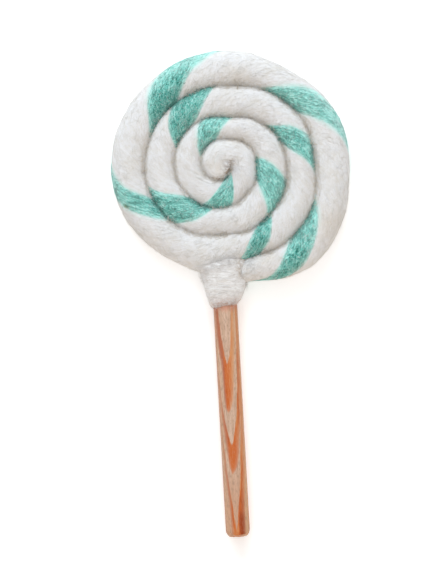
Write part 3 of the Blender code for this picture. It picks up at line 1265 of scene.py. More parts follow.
COIL_JOINT = (
    Tuft(-10.0, -31.8, 0.7), Tuft(-7.5, -31.3, 0.7), Tuft(-5.0, -30.8, 0.7), Tuft(-2.5, -30.4, 0.7),
    Tuft(0.0, -30.1, 0.7), Tuft(2.9, -31.6, 0.6), Tuft(2.9, -33.2, 0.6), Tuft(2.9, -35.0, 0.6),
)
CORE_FOLDS = (
    Tuft(-0.2, -0.9, 0.22), Tuft(-0.36, -0.6, 0.25), Tuft(0.7, 0.6, 0.25), Tuft(1.1, 1.6, 0.4),
    Tuft(-5.5, -3.4, 0.35), Tuft(-4.2, -3.6, 0.4), Tuft(-2.85, -3.2, 0.45), Tuft(-1.4, -1.9, 0.4),
    Tuft(0.3, 0.6, 0.4),
)
BRIGHT = FibreFinish("Flyaway fibres", dark=(0.78, 0.78, 0.77), light=(0.93, 0.93, 0.93))
ROPE_FIBRES = (
    FibreKind(
        "white_fibres", 7000, (2.0, 5.5), 0.04, (0.01, 0.12), 32.0, 40.0, 0.1, 11,
        FibreFinish("White fibres"), Zone.WHITE,
    ),
    FibreKind(
        "teal_fibres", 6800, (1.2, 3.4), 0.038, (0.0, 0.12), 24.0, 40.0, 0.06, 12,
        FibreFinish("Teal fibres", dark=(0.003, 0.085, 0.062), light=(0.29, 0.78, 0.70)), Zone.STRIPE,
    ),
    FibreKind(
        "mint_fibres", 2200, (1.0, 3.0), 0.026, (0.04, 0.2), 30.0, 60.0, 0.12, 13,
        FibreFinish("Mint fibres", dark=(0.28, 0.74, 0.66), light=(0.68, 0.90, 0.85)), Zone.STRIPE,
    ),
    FibreKind(
        "crease_fibres", 4200, (1.0, 2.8), 0.036, (-0.1, 0.3), 45.0, 60.0, 0.0, 15,
        FibreFinish("Crease fibres", dark=(0.66, 0.57, 0.45), light=(0.88, 0.86, 0.82)), Zone.CREASE,
    ),
    # Real fibres over the dyed creases, coloured much darker than the band as painted shade
    FibreKind(
        "dyed_crease_fibres", 900, (0.9, 2.4), 0.034, (-0.1, 0.25), 45.0, 60.0, 0.0, 19,
        FibreFinish("Dyed crease fibres", dark=(0.002, 0.030, 0.023), light=(0.07, 0.36, 0.30)),
        Zone.DYED_CREASE,
    ),
    FibreKind("flyaway_fibres", 3300, (1.2, 4.2), 0.024, (0.1, 0.5), 70.0, 110.0, 0.6, 14, BRIGHT),
    FibreKind(
        "fold_flecks", 280, (0.4, 1.3), 0.03, (0.0, 0.25), 60.0, 60.0, 0.2, 16,
        FibreFinish("Straw flecks", dark=(0.20, 0.10, 0.05), light=(0.70, 0.56, 0.42)), tufts=CORE_FOLDS,
    ),
    FibreKind(
        "joint_wisps", 330, (2.0, 5.0), 0.035, (0.05, 0.45), 28.0, 40.0, 0.3, 18, BRIGHT, tufts=COIL_JOINT
    ),
    FibreKind(
        "olive_fleck", 46, (0.5, 1.1), 0.05, (0.0, 0.1), 60.0, 40.0, 0.0, 17,
        FibreFinish("Olive fleck", dark=(0.10, 0.12, 0.03), light=(0.34, 0.33, 0.13)),
        tufts=(Tuft(-34.5, -11.0, 0.38),),
    ),
)


@dataclass
class FeltHead:
    """The coiled rope with its stripe and loose fibres.

    Attributes:
        layout: Where the parts of the object are.
        seam: The crease between the turns.
        stripe: The teal band.
        start: Angle where the rope begins, in the middle.
        end: Angle where it ends.
        rows: Rings along the rope.
        columns: Points in each ring.
        half_height: Half the rope's height.
        squareness: How square its section is, where 2 is round.
        press: How far each turn is pressed into the next, where it is least.
        press_swing: Half of how much more it is on the far side.
        press_least: Angle where it is least.
        core_overlap: How much more the first turn is pressed together.
        full_half_width: Half width from which the rope has its full height.
        tail_length: Length over which the rope's end gets thinner.
        tail_thinning: Share of the height that it loses there.
        tail_rounding: Length over which the very end is rounded off.
        lumps: Height, width and pattern of each set of lumps.
        streak_lumps: Height of the ridges that run with the strands.
        strand_pace: How fast the pattern of the strands changes along the rope.
        edge_scale: Share by which distances from the stripe's edge count.
        stripe_rise: How far the dyed wool stands up, and how deep the groove at its edge is.
        rise_width: Distance over which it rises.
        groove_width: Half width of the groove.
        seam_slack: How far the rope is seen past the crease.
        inner_from: Angles from which the rope has a turn inside it, for sight and for fibres.
        end_gap: Degrees before the end of the rope at which the last fibres bridge a crease.
        bridge_lean: Degrees from the top between which fibres reach over a crease.
        side_lean: Degrees from the top over which the rope turns down into a crease.
        floor_softness: How gently the underside flattens on the floor, in square millimetres.
        dents: Hollows and bumps pressed into the felt.
        shade_patches: Patches of painted shade on the white wool.
    """

    layout: Layout
    seam: SeamSpiral = SeamSpiral()
    stripe: StripeWinding = StripeWinding()
    start: float = -186.0
    end: float = 1262.0
    rows: int = 1000
    columns: int = 88
    half_height: float = 5.75
    squareness: float = 2.15
    press: float = 0.65
    press_swing: float = 0.18
    press_least: float = 45.0
    core_overlap: float = 0.6
    full_half_width: float = 2.8
    tail_length: float = 26.0
    tail_thinning: float = 0.24
    tail_rounding: float = 1.6
    lumps: Triples = ((0.30, 7.5, 0.0), (0.07, 3.1, 9.0), (0.025, 1.1, 4.0))
    streak_lumps: float = 0.03
    strand_pace: float = 0.12
    edge_scale: float = 0.75
    stripe_rise: float = 0.10
    rise_width: float = 1.2
    groove_width: float = 0.6
    seam_slack: float = 0.05
    inner_from: tuple[float, float] = (100.0, 90.0)
    end_gap: float = 12.0
    bridge_lean: tuple[float, float] = (34.0, 62.0)
    side_lean: tuple[float, float] = (30.0, 68.0)
    floor_softness: float = 0.06
    dents: tuple[Spot, ...] = (
        Spot(0.0, 0.6, -0.95, 0.8), Spot(318.0, 1.25, -0.85, 0.55), Spot(285.0, 0.8, -0.45, 0.5),
        Spot(33.0, 2.4, 0.30, 0.7), Spot(213.0, 2.3, 0.35, 0.7), Spot(275.0, 5.2, 0.30, 1.3),
        Spot(250.0, 5.6, 0.16, 0.45), Spot(243.0, 6.6, 0.16, 0.45), Spot(222.0, 4.6, 0.35, 0.7),
        Spot(262.0, 4.2, 0.22, 0.7), Spot(236.0, 4.4, 0.20, 0.6), Spot(1238.0, 30.5, 0.5, 2.5),
    )
    # Patches of painted shade, where the rope lies darker
    shade_patches: tuple[Spot, ...] = (
        Spot(2.0, 16.8, 0.8, 2.6), Spot(10.0, 30.8, 0.55, 3.4), Spot(265.0, 3.2, 1.2, 2.0),
        Spot(124.0, 37.5, 1.1, 5.0), Spot(161.0, 33.0, 0.9, 3.4),
    )

    def _stations(self) -> tuple[np.ndarray, np.ndarray]:
        """Spread the rows evenly along the rope.

        Returns:
            The angle of each row and its distance along the rope.
        """
        angle = np.linspace(self.start, self.end, 6000)
        pace = np.maximum((self.seam.radius(angle) + self.seam.radius(angle + 360.0)) / 2.0, 2.5)
        steps = (pace[1:] + pace[:-1]) / 2.0 * np.radians(np.diff(angle))
        run = np.concatenate([[0.0], np.cumsum(steps)])
        even = np.linspace(0.0, run[-1], self.rows)
        return np.interp(even, run, angle), even

    def _around(self) -> np.ndarray:
        """Degrees round the rope from its top, for each column."""
        return np.linspace(0.0, 360.0, self.columns, endpoint=False)

    def _section(self, angle: np.ndarray) -> tuple[np.ndarray, np.ndarray, np.ndarray]:
        """Middle radius, half width and half height of the rope.

        Args:
            angle: Angle of each row.

        Returns:
            Three sizes for each row.
        """
        inner = self.seam.radius(angle)
        outer = self.seam.radius(angle + 360.0)
        wide = (outer - inner) / 2.0
        neighbour = 1.0 - smooth_share(angle + 360.0, self.end - 8.0, self.end + 4.0)
        press = self.press + self.press_swing * (1.0 - np.cos(np.radians(angle - self.press_least)))
        inner = inner - press - self.core_overlap * bell(inner, 2.0)
        outer = outer + press * neighbour - 0.1 * (1.0 - neighbour)
        radius = (inner + outer) / 2.0
        from_end = np.radians(self.end - angle) * radius
        tail = np.clip(1.0 - from_end / self.tail_length, 0.0, 1.0)
        left = np.clip(1.0 - wide / self.full_half_width, 0.0, 1.0)
        half_height = self.half_height * (1.0 - self.tail_thinning * tail)
        half_height = half_height * np.maximum(np.sqrt(1.0 - left**2), 0.3)
        tip = np.clip(1.0 - from_end / self.tail_rounding, 0.0, 1.0)
        share = np.maximum(np.sqrt(1.0 - tip**2), 0.2)
        return radius, (outer - inner) / 2.0 * share, half_height * share

    def skin(self) -> FeltSkin:
        """Shape the rope's surface.

        Returns:
            The surface with its strands and stripe.
        """
        angle, along = self._stations()
        radius, half_width, half_height = (size[:, None] for size in self._section(angle))
        around = self._around()
        turned = np.radians(around)
        side, up = (squarer(wave, self.squareness) for wave in (np.sin(turned), np.cos(turned)))
        reach = radius + side * half_width
        on_head = angle[:, None]
        points = joined(*self.layout.on_head(on_head, reach), self.layout.axis_z + up * half_height)
        lead, trail = self.stripe.edges(angle)
        middle, half = (lead + trail) / 2.0, (lead - trail) / 2.0
        off = wrapped(around[None, :] - middle[:, None])
        size = (half_width + half_height) / 2.0
        edge = (np.abs(off) - half[:, None]) / 360.0 * (2.0 * math.pi * size) * self.edge_scale
        edge = np.where(on_head < self.stripe.start, np.abs(edge) + 1.5, edge)
        spin = np.radians(off)
        strand = joined(along[:, None] * self.strand_pace, size * np.sin(spin), size * np.cos(spin))
        beyond = reach > self.seam.radius(on_head + 360.0) + self.seam_slack
        within = reach < self.seam.radius(on_head) - self.seam_slack
        seen_from, fibres_from = self.inner_from
        hidden = (beyond & (on_head + 360.0 < self.end)) | (within & (on_head > seen_from))
        lean = wrapped(around[None, :])
        outer_turn = on_head + (360.0 + self.end_gap) < self.end
        next_turn = np.where(lean > 0.0, outer_turn, on_head > fibres_from)
        least, most = self.bridge_lean
        skin = FeltSkin(
            points=points,
            along=along,
            strand=strand,
            edge=edge,
            open=~hidden,
            twist=np.gradient(middle) / 360.0 * self.columns,
            crease=(np.abs(lean) > least) & (np.abs(lean) < most) & next_turn,
            side=smooth_share(np.abs(lean), *self.side_lean) * next_turn,
        )
        self._knead(skin)
        return skin

    def _knead(self, skin: FeltSkin) -> None:
        """Give the rope the lumps and dents of handmade felt.

        Args:
            skin: The rope's surface.
        """
        lumps = self.streak_lumps * noise_at(skin.strand, 1.0, 2.0)
        for height, size, seed in self.lumps:
            lumps += height * noise_at(skin.points, size, seed)
        raised = smooth_share(-skin.edge, 0.0, self.rise_width) - bell(skin.edge, self.groove_width)
        lumps += self.stripe_rise * raised
        above = smooth_share(skin.points[..., 2], self.layout.axis_z, self.layout.axis_z + 2.0)
        for dent in self.dents:
            lumps -= dent.over(skin.points, self.layout) * above
        skin.push(lumps)
        height = skin.points[..., 2]
        skin.points[..., 2] = 0.5 * (height + np.sqrt(height**2 + self.floor_softness))

    def build(self) -> FeltSkin:
        """Make the rope.

        Returns:
            Its surface, for the fibres.
        """
        skin = self.skin()
        finish = StripedWoolFinish(name="White and teal wool")
        piece = Shell.closed(skin.points).piece("wool_rope", finish.build(), "white_wool")
        around = self._around()
        # Painted shade on the rope's sides, stronger where they turn down into a crease, and in the shade
        # patches
        edge_on = smooth_share(-np.abs(np.cos(np.radians(around))), -0.62, -0.3)
        hollow = edge_on * (0.3 + 0.7 * smooth_share(skin.side, 0.0, 0.3))
        for patch in self.shade_patches:
            hollow = hollow + patch.over(skin.points, self.layout)
        # Painted highlight and shade on the teal band, by crossing and lean
        teal_light = self.stripe.painted_teal_light(self._stations()[0], wrapped(around))
        carry(
            piece, strand=skin.strand, stripe_edge=skin.edge, hollow=hollow, side=skin.side, thinness=teal_light
        )
        unfold(piece, skin.along, self.columns, 5)
        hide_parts("felt_coil", "teal_stripe")
        return skin

    def dress(self, skin: FeltSkin) -> None:
        """Lay the loose fibres on the rope's surface."""
        for kind in ROPE_FIBRES:
            FibreCoat(skin, kind, self.layout).piece(kind.zone.slot)


# The stick and its collar


WRAP_ENDS = (
    Tuft(-11.2, -36.5, 0.5), Tuft(3.9, -38.8, 0.4), Tuft(-6.5, -45.3, 0.8), Tuft(-1.5, -45.0, 0.8),
    Tuft(-9.5, -34.0, 0.8), Tuft(-6.5, -32.4, 0.9), Tuft(-3.5, -31.3, 0.9), Tuft(-0.5, -30.7, 0.9),
)
TAIL_JOINT = (
    Tuft(2.3, -31.3, 0.45), Tuft(2.3, -32.6, 0.45), Tuft(2.3, -33.9, 0.45), Tuft(2.2, -35.2, 0.45),
    Tuft(2.3, -30.0, 0.5),
)
MOUTH_RIM = tuple(
    Tuft(x, -45.5 - 0.06 * abs(x + 3.8), 0.45) for x in (-7.3, -6.3, -5.3, -4.3, -3.3, -2.3, -1.3, -0.3)
)
WRAPPING = FibreFinish("Collar fibres", dark=(0.72, 0.67, 0.635), light=(0.96, 0.955, 0.96))
COLLAR_FIBRES = (
    FibreKind("collar_fibres", 2600, (3.0, 9.0), 0.036, (0.0, 0.12), 9.0, 16.0, 0.08, 21, WRAPPING),
    FibreKind(
        "collar_tufts", 420, (1.0, 2.6), 0.026, (0.3, 1.1), 80.0, 120.0, 0.7, 22, WRAPPING, tufts=WRAP_ENDS
    ),
    FibreKind(
        "joint_fibres", 320, (1.2, 3.0), 0.03, (0.02, 0.4), 60.0, 80.0, 0.55, 23,
        FibreFinish("Beige fibres", dark=(0.72, 0.61, 0.50), light=(0.97, 0.95, 0.93)), tufts=TAIL_JOINT,
    ),
    FibreKind(
        "mouth_fringe", 260, (0.7, 2.0), 0.028, (0.02, 0.45), 50.0, 60.0, 0.4, 24,
        FibreFinish("Fringe fibres", dark=(0.62, 0.36, 0.26), light=(0.95, 0.88, 0.85)), tufts=MOUTH_RIM,
    ),
)


@dataclass
class WoolCollar:
    """Wool wound round the stick and over the edge of the head.

    Attributes:
        layout: Where the parts of the object are.
        mouth: Distance from the middle of the head to the collar's mouth.
        profile: Distance from the mouth, half width to the left and to the right, rise and fall of
            each section.
        rows: Rings along the collar.
        columns: Points in each ring.
        squareness: How square its section is, where 2 is round.
        ragged: How far the mouth's edge wanders along the stick.
        slant: How much lower its left side reaches than its middle.
        winding: Slope of the wound fibres, in columns for each row.
        winding_slant: How far along the stick the windings lean to one side.
        winding_radius: Radius round which their pattern runs.
        from_stripe: Distance from a stripe's edge that stands for plain white wool.
        least_height: Least height of the underside.
        bare_rows: Share of the rows, from inside the mouth, that stay without fibres.
    """

    layout: Layout
    mouth: float = 45.7
    profile: Rows = (
        (1.4, 3.85, 3.85, 3.85, 3.85), (0.4, 3.93, 3.93, 3.93, 3.93), (0.0, 4.15, 4.10, 4.15, 4.10),
        (0.15, 4.45, 4.40, 4.30, 4.25), (0.7, 4.95, 4.95, 4.50, 4.35), (1.6, 5.40, 5.60, 4.75, 4.50),
        (3.3, 5.95, 6.35, 5.00, 4.75), (5.0, 6.35, 6.85, 5.20, 4.90), (6.8, 6.75, 7.25, 5.35, 5.00),
        (9.0, 7.15, 7.60, 5.50, 5.10), (10.6, 7.45, 7.85, 5.60, 5.10), (11.6, 7.90, 8.20, 5.60, 5.05),
        (12.3, 8.90, 8.60, 5.55, 5.00), (13.0, 10.50, 8.90, 5.40, 4.90), (14.0, 11.60, 9.00, 5.20, 4.75),
        (15.2, 11.00, 8.90, 4.80, 4.50), (16.8, 8.60, 7.60, 4.00, 3.70), (18.0, 6.20, 6.20, 3.00, 2.80),
    )
    rows: int = 170
    columns: int = 150
    squareness: float = 2.5
    ragged: float = 0.5
    slant: float = 0.6
    winding: float = 60.0
    winding_slant: float = 0.8
    winding_radius: float = 0.55
    from_stripe: float = 5.0
    least_height: float = 0.1
    bare_rows: float = 0.08

    def skin(self) -> FeltSkin:
        """Shape the collar's surface.

        Returns:
            The surface with its windings.
        """
        table = np.array(self.profile)
        run = np.concatenate([[0.0], np.cumsum(np.hypot(*np.diff(table[:, :2], axis=0).T))])
        even = np.linspace(0.0, run[-1], self.rows)
        along, left, right, rise, fall = (np.interp(even, run, column)[:, None] for column in table.T)
        around = np.linspace(0.0, 2.0 * math.pi, self.columns, endpoint=False)
        sine, cosine = np.sin(around), np.cos(around)
        side, up = (squarer(wave, self.squareness) for wave in (sine, cosine))
        circle = joined(sine, cosine, np.zeros_like(sine))
        wander = self.ragged * noise_at(circle, 0.45, 3.0)[None, :] * np.exp(-along / 2.5)
        wander = wander + self.slant * sine[None, :] * np.exp(-along / 4.0)
        points = joined(
            self.layout.axis_x + np.where(side > 0.0, side * right, side * left),
            self.layout.head_y - self.mouth + along + wander,
            self.layout.axis_z + np.where(up > 0.0, up * rise, up * fall),
        )
        wound = along + self.winding_slant * sine[None, :] + 0.35 * noise_at(points, 6.0, 2.0)
        strand = joined(self.winding_radius * sine, wound, self.winding_radius * cosine)
        skin = FeltSkin(
            points=points,
            along=even,
            strand=strand,
            edge=np.full(wound.shape, self.from_stripe),
            open=np.ones(wound.shape, bool),
            twist=np.full(self.rows, self.winding),
            crease=np.zeros(wound.shape, bool),
            side=np.zeros(wound.shape),
        )
        ridges = 0.14 * noise_at(strand, 1.6, 5.0) + 0.035 * noise_at(strand, 0.6, 8.0)
        lumps = 0.10 * noise_at(points, 3.6, 7.0)
        skin.push((ridges + lumps) * smooth_share(even, 1.9, 2.8)[:, None])
        skin.points[..., 2] = np.maximum(skin.points[..., 2], self.least_height)
        return skin

    def build(self) -> FeltSkin:
        """Make the wound wool.

        Returns:
            Its surface, for the fibres.
        """
        skin = self.skin()
        finish = WoolFinish(
            name="Wound wool",
            white=(0.88, 0.87, 0.87),
            cream=(0.70, 0.655, 0.62),
            streaks=2.2,
            grain=0.4,
            relief=0.00015,
            sheen=0.6,
            hollow=(0.66, 0.52, 0.46),
        )
        piece = Shell.closed(skin.points).piece("wool_collar", finish.build(), "collar_wool")
        # Painted shade on the collar, growing toward its mouth
        hollow = np.repeat(1.3 * smooth_share(-skin.along, -7.0, -2.5), self.columns)
        carry(piece, strand=skin.strand, hollow=hollow)
        unfold(piece, skin.along, self.columns, 1)
        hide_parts("felt_collar")
        return skin

    def dress(self, skin: FeltSkin) -> None:
        """Lay the loose fibres on the collar.

        Args:
            skin: The collar's surface.
        """
        skin.open[: int(self.rows * self.bare_rows)] = False
        for kind in COLLAR_FIBRES:
            FibreCoat(skin, kind, self.layout).piece("collar_wool")


@dataclass(frozen=True)
class Outline:
    """The outer or the inner outline of one pointed growth line, on the stick's shown face.

    Attributes:
        table: Distance from the tip, then the left and the right side across the stick.
        fade: Share by which distances count on the right, where the line fades out softly.
    """

    table: Triples
    fade: float = 1.0

    TIP_FADE = 0.4

    def inside(self, across: np.ndarray, along: np.ndarray) -> np.ndarray:
        """How far each place is inside the outline.

        Args:
            across: Places across the stick.
            along: Places along the stick.

        Returns:
            Distances in millimetres, negative outside.
        """
        places, *sides = np.array(self.table).T
        left, right = (np.interp(along, places, side) for side in sides)
        short = np.maximum(places[0] - along, 0.0)
        return np.minimum(across - left, (right - across) * self.fade) - self.TIP_FADE * short


# The three growth lines from the collar to the tip, as the outlines round their dark wood and
# those of the pale wood inside them
LINE_FADE = 0.6
LINES_OUTER = tuple(
    Outline(table, LINE_FADE)
    for table in (
        (
            (41.5, -1.1, -0.8), (43.0, -1.75, 0.2), (46.0, -2.0, 0.9), (49.0, -2.1, 1.25),
            (52.0, -2.15, 1.5), (55.0, -2.3, 1.7), (58.0, -2.5, 1.85), (61.0, -2.9, 2.15),
            (64.0, -3.2, 2.35), (67.0, -3.5, 2.45), (70.0, -3.6, 2.5), (76.0, -3.7, 2.65),
            (84.0, -3.8, 2.8),
        ),
        (
            (21.5, -0.9, -0.3), (23.0, -1.4, 0.9), (25.0, -1.8, 1.4), (28.0, -2.1, 1.9),
            (31.0, -2.3, 2.1), (34.0, -2.75, 2.4), (37.0, -3.0, 2.8), (40.0, -3.3, 3.15),
            (43.0, -3.4, 3.35), (49.0, -3.6, 3.5), (55.0, -3.7, 3.6), (65.0, -3.8, 3.7),
            (77.0, -4.1, 3.9),
        ),
        (
            (-2.0, -1.8, 2.75), (4.0, -2.0, 2.75), (7.0, -2.1, 2.75), (10.0, -2.2, 2.75),
            (13.0, -2.35, 2.85), (16.0, -2.7, 3.05), (19.0, -2.9, 3.3), (22.0, -3.2, 3.45),
            (28.0, -3.4, 3.6), (34.0, -3.6, 3.7), (40.0, -3.8, 3.9),
        ),
    )
)
LINES_INNER = tuple(
    Outline(table)
    for table in (
        (
            (57.6, -0.5, -0.4), (59.0, -0.9, 0.1), (61.0, -1.3, 0.6), (64.0, -1.65, 1.0),
            (67.0, -2.0, 1.2), (70.0, -2.2, 1.4), (73.0, -2.4, 1.6), (77.0, -2.6, 1.8),
            (84.0, -2.8, 2.0),
        ),
        (
            (30.6, -0.4, -0.4), (32.0, -0.9, 0.2), (34.0, -1.35, 0.5), (37.0, -1.9, 1.15),
            (40.0, -2.5, 1.6), (43.0, -2.8, 1.9), (46.0, -3.0, 2.1), (49.0, -3.2, 2.45),
            (55.0, -3.45, 2.65), (65.0, -3.6, 3.0), (77.0, -3.9, 3.4),
        ),
        (
            (2.6, -0.5, -0.3), (5.5, -0.75, 0.25), (7.5, -1.0, 0.4), (10.0, -1.2, 0.7),
            (13.0, -1.5, 1.1), (16.0, -2.0, 1.45), (19.0, -2.2, 1.7), (22.0, -2.6, 2.0),
            (25.0, -2.75, 2.15), (28.0, -2.9, 2.3), (31.0, -3.1, 2.5), (40.0, -3.6, 3.1),
        ),
    )
)


@dataclass(frozen=True)
class Vein:
    """A dark vein in a growth line.

    Attributes:
        middle: Place of its middle across the stick.
        start: Where it starts along the stick.
        end: Where it ends.
        slope: How much it moves across for each millimetre along.
    """

    middle: float
    start: float
    end: float
    slope: float

    HALF_WIDTH = 0.24
    REDNESS = 0.9

    def redness(self, across: np.ndarray, along: np.ndarray) -> np.ndarray:
        """How much redder it makes each place.

        Args:
            across: Places across the stick.
            along: Places along the stick.

        Returns:
            Redness to add.
        """
        off = across - self.middle - self.slope * (along - (self.start + self.end) / 2.0)
        reach = smooth_share(along, self.start - 2.5, self.start + 1.5)
        reach = reach * smooth_share(-along, -self.end - 2.5, -self.end + 1.5)
        return self.REDNESS * reach * bell(off, self.HALF_WIDTH)


VEINS = (
    Vein(-1.95, 44.0, 54.0, -0.01), Vein(-2.3, 56.0, 66.0, -0.09), Vein(2.45, 38.0, 48.0, 0.03),
    Vein(2.95, 50.0, 61.0, 0.02), Vein(-1.7, 31.0, 38.0, -0.12), Vein(-1.35, 3.5, 11.0, -0.06),
    Vein(2.3, 15.0, 23.0, 0.06),
)


@dataclass
class Dowel:
    """The bare wooden stick, with a roughly rounded free end.

    Attributes:
        layout: Where the parts of the object are.
        top: Distance from the middle of the head to the stick's upper end, inside the collar.
        rounding: Distance from the tip and share of the radius of each section at the free end.
        body_rows: Rings along the rest of the stick.
        columns: Points in each ring.
        under_shift: How much nearer to the tip the growth lines lie on the underside.
        ring_pitch: Distance between the growth rings on the sawn end.
        side_levels: Heights of the straight lines on the stick's sides.
        side_from: Distance from the axis at which the sides begin.
        side_line: Half the thickness of a line there.
        side_slope: How much it sinks for each millimetre along the stick.
        no_line: Distance inside a line that stands for no line at all.
    """

    layout: Layout
    top: float = 36.0
    rounding: Pairs = (
        (0.0, 0.02), (0.0, 0.12), (0.0, 0.24), (0.0, 0.36), (0.0, 0.48), (0.0, 0.62),
        (0.12, 0.74), (0.45, 0.84), (0.95, 0.92), (1.6, 0.975), (2.4, 1.0),
    )
    body_rows: int = 90
    columns: int = 96
    under_shift: float = 13.0
    ring_pitch: float = 2.3
    side_levels: tuple[float, ...] = (0.5, -1.5)
    side_from: float = 2.9
    side_line: float = 0.42
    side_slope: float = 0.012
    no_line: float = -2.0

    def build(self) -> None:
        """Make the stick."""
        layout = self.layout
        length = layout.head_y - self.top - layout.tip_y
        table = np.array(self.rounding)
        body = np.linspace(table[-1, 0], length, self.body_rows)[1:]
        along = np.concatenate([table[:, 0], body])
        radius = (layout.stick_radius * np.concatenate([table[:, 1], np.ones(len(body))]))[:, None]
        around = np.linspace(0.0, 2.0 * math.pi, self.columns, endpoint=False)
        flat = joined(radius * np.sin(around), along[:, None], radius * np.cos(around))
        near_tip = smooth_share(-along, -3.0, -0.4)[:, None]
        rough = noise_at(flat, 1.1, 6.0) * 0.14 * near_tip + noise_at(flat, 6.0, 3.0) * 0.03
        for axis in (0, 2):
            flat[..., axis] *= 1.0 + rough / layout.stick_radius
        flat[..., 1] += np.abs(noise_at(flat, 1.6, 12.0)) * 0.35 * near_tip
        shell = Shell.closed(flat + np.array([layout.axis_x, layout.tip_y, layout.axis_z]))
        piece = shell.piece("dowel", WoodFinish(name="Bare softwood", roughness=0.55).build(), "bare_wood")
        unfold(piece, np.linspace(0.0, length, len(along)), self.columns, 2)
        self._grain(piece, flat)
        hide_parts("wood_stick")

    def _grain(self, piece: bpy.types.Object, flat: np.ndarray) -> None:
        """Store the grain on the mesh.

        Args:
            piece: The stick.
            flat: Places from the middle of the tip, by row and column.
        """
        across, along, depth = (flat[..., axis] for axis in range(3))
        along = along + np.where(depth < 0.0, self.under_shift * smooth_share(-depth, 0.0, 0.6), 0.0)
        outer, inner = (
            np.stack([line.inside(across, along) for line in lines], -1)
            for lines in (LINES_OUTER, LINES_INNER)
        )
        for level in self.side_levels:
            far = np.abs(depth - level + self.side_slope * (along - 40.0))
            straight = np.where(np.abs(across) > self.side_from, self.side_line - far, -1.0)
            outer[..., 0] = np.maximum(outer[..., 0], straight)
        face = smooth_share(-flat[..., 1], -0.8, -0.3)[..., None]
        arc = (depth + 0.11 * across**2 + 0.2) % self.ring_pitch
        rings = joined(0.6 - np.abs(arc - self.ring_pitch / 2.0), self.no_line, self.no_line)
        outer = outer * (1.0 - face) + rings * face
        inner = inner * (1.0 - face) + self.no_line * face
        low = 0.7 * smooth_share(-along, -16.5, -12.0) * smooth_share(across, 0.1, 0.9)
        low = low + 0.9 * smooth_share(-along, -11.0, -2.0) * smooth_share(across, 0.5, 1.7)
        first = smooth_share(outer[..., 0], -0.4, 0.1)
        second = smooth_share(outer[..., 1], -0.4, 0.1) * (1.0 - first)
        second = second * smooth_share(-along, -37.0, -30.0)
        redness = 0.5 + first * (0.12 - 0.34 * across) + 0.35 * second + 1.3 * low
        for vein in VEINS:
            redness = redness + vein.redness(across, along)
        warmth = smooth_share(across, 1.4, 3.4) + 0.5 * smooth_share(-across, 1.8, 3.4)
        carry(piece, grain=flat, line_outer=outer, line_inner=inner, redness=redness, warmth=warmth)


# The studio


@dataclass(frozen=True)
class SoftLight:
    """One square light that faces the middle of the object.

    Attributes:
        name: The light's name.
        place: Where it hangs, in metres.
        size: Side of its square, in metres.
        power: Its power in watts.
        tint: Its colour.
    """

    name: str
    place: tuple[float, float, float]
    size: float
    power: float
    tint: Colour

    def hang(self) -> None:
        """Add it to the scene."""
        data = bpy.data.lights.new(self.name, "AREA")
        data.size = self.size
        data.energy = self.power
        data.color = self.tint
        light = bpy.data.objects.new(self.name, data)
        light.location = self.place
        light.rotation_euler = (-Vector(self.place)).to_track_quat("-Z", "Y").to_euler()
        bpy.context.scene.collection.objects.link(light)


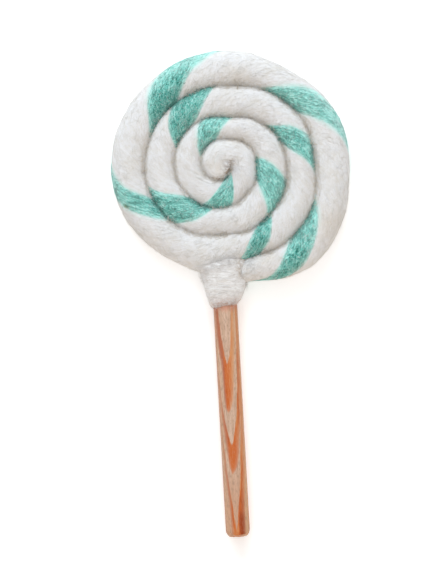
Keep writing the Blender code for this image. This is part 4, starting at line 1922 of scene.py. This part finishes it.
@dataclass
class Studio:
    """Pale floor, soft light and the camera over the object.

    Attributes:
        layout: Where the parts of the object are.
        lights: A light from beyond the head's top, a wide one overhead and a warm one low down.
        haze: Colour of the light from all round.
        haze_strength: Its strength.
        floor_half: Half the floor's side, in metres.
        floor_drop: How far the floor is below the object, in metres.
        pixel: Size of a pixel of the photograph on the object.
        image: Its width and height in pixels.
        head_pixel: Where the middle of the head is in it.
        roll: Its tilt in degrees.
        distance: Height of the camera.
    """

    layout: Layout
    lights: tuple[SoftLight, ...] = (
        SoftLight("window", (-0.10, 0.80, 0.52), 0.7, 7.2, (0.85, 0.94, 0.985)),
        SoftLight("sky", (0.0, 0.1, 1.3), 1.4, 8.2, (0.96, 0.97, 1.0)),
        SoftLight("bounce", (0.05, -0.9, 0.22), 0.9, 4.1, (1.0, 0.81, 0.58)),
    )
    haze: Colour = (1.0, 0.965, 0.92)
    haze_strength: float = 0.30
    floor_half: float = 1.5
    floor_drop: float = 0.00005
    pixel: float = 1.0 / 3.0
    image: tuple[int, int] = (442, 565)
    head_pixel: tuple[float, float] = (229.0, 168.0)
    roll: float = 3.2
    distance: float = 800.0

    def build(self) -> None:
        """Make the floor, the lights and the camera."""
        self._floor()
        for light in self.lights:
            light.hang()
        self._surround()
        self._camera()
        bpy.context.scene.view_settings.view_transform = "Standard"

    def _floor(self) -> None:
        """Make the floor."""
        mesh = bpy.data.meshes.new("floor")
        half = self.floor_half
        corners = [(-half, -half, 0.0), (half, -half, 0.0), (half, half, 0.0), (-half, half, 0.0)]
        mesh.from_pydata(corners, [], [(0, 1, 2, 3)])
        mesh.materials.append(FloorFinish(name="White paper").build())
        floor = bpy.data.objects.new("floor", mesh)
        floor.location.z = -self.floor_drop
        bpy.context.scene.collection.objects.link(floor)

    def _surround(self) -> None:
        """Add the light from all round."""
        world = bpy.data.worlds.new("studio")
        world.use_nodes = True
        back = world.node_tree.nodes["Background"]
        back.inputs["Color"].default_value = (*self.haze, 1.0)
        back.inputs["Strength"].default_value = self.haze_strength
        bpy.context.scene.world = world

    def _camera(self) -> None:
        """Look straight down, with the photograph's small tilt."""
        turned = math.radians(self.roll)
        across = self.image[0] / 2.0 - self.head_pixel[0]
        up = self.head_pixel[1] - self.image[1] / 2.0
        x = self.layout.head_x + self.pixel * (across * math.cos(turned) + up * math.sin(turned))
        y = self.layout.head_y + self.pixel * (up * math.cos(turned) - across * math.sin(turned))
        data = bpy.data.cameras.new("camera")
        data.sensor_width = 36.0
        data.lens = data.sensor_width * self.distance / (self.image[1] * self.pixel)
        camera = bpy.data.objects.new("camera", data)
        camera.location = Vector((x, y, self.layout.axis_z + self.distance)) * MM
        camera.rotation_euler = (0.0, 0.0, -turned)
        bpy.context.scene.collection.objects.link(camera)
        bpy.context.scene.camera = camera


def main() -> None:
    """Build every part of the scene in order."""
    logging.basicConfig(level=logging.INFO, format="%(message)s")
    layout = Layout.read()
    head = FeltHead(layout)
    head.dress(head.build())
    collar = WoolCollar(layout)
    collar.dress(collar.build())
    Dowel(layout).build()
    Studio(layout).build()


if __name__ == "__main__":
    main()
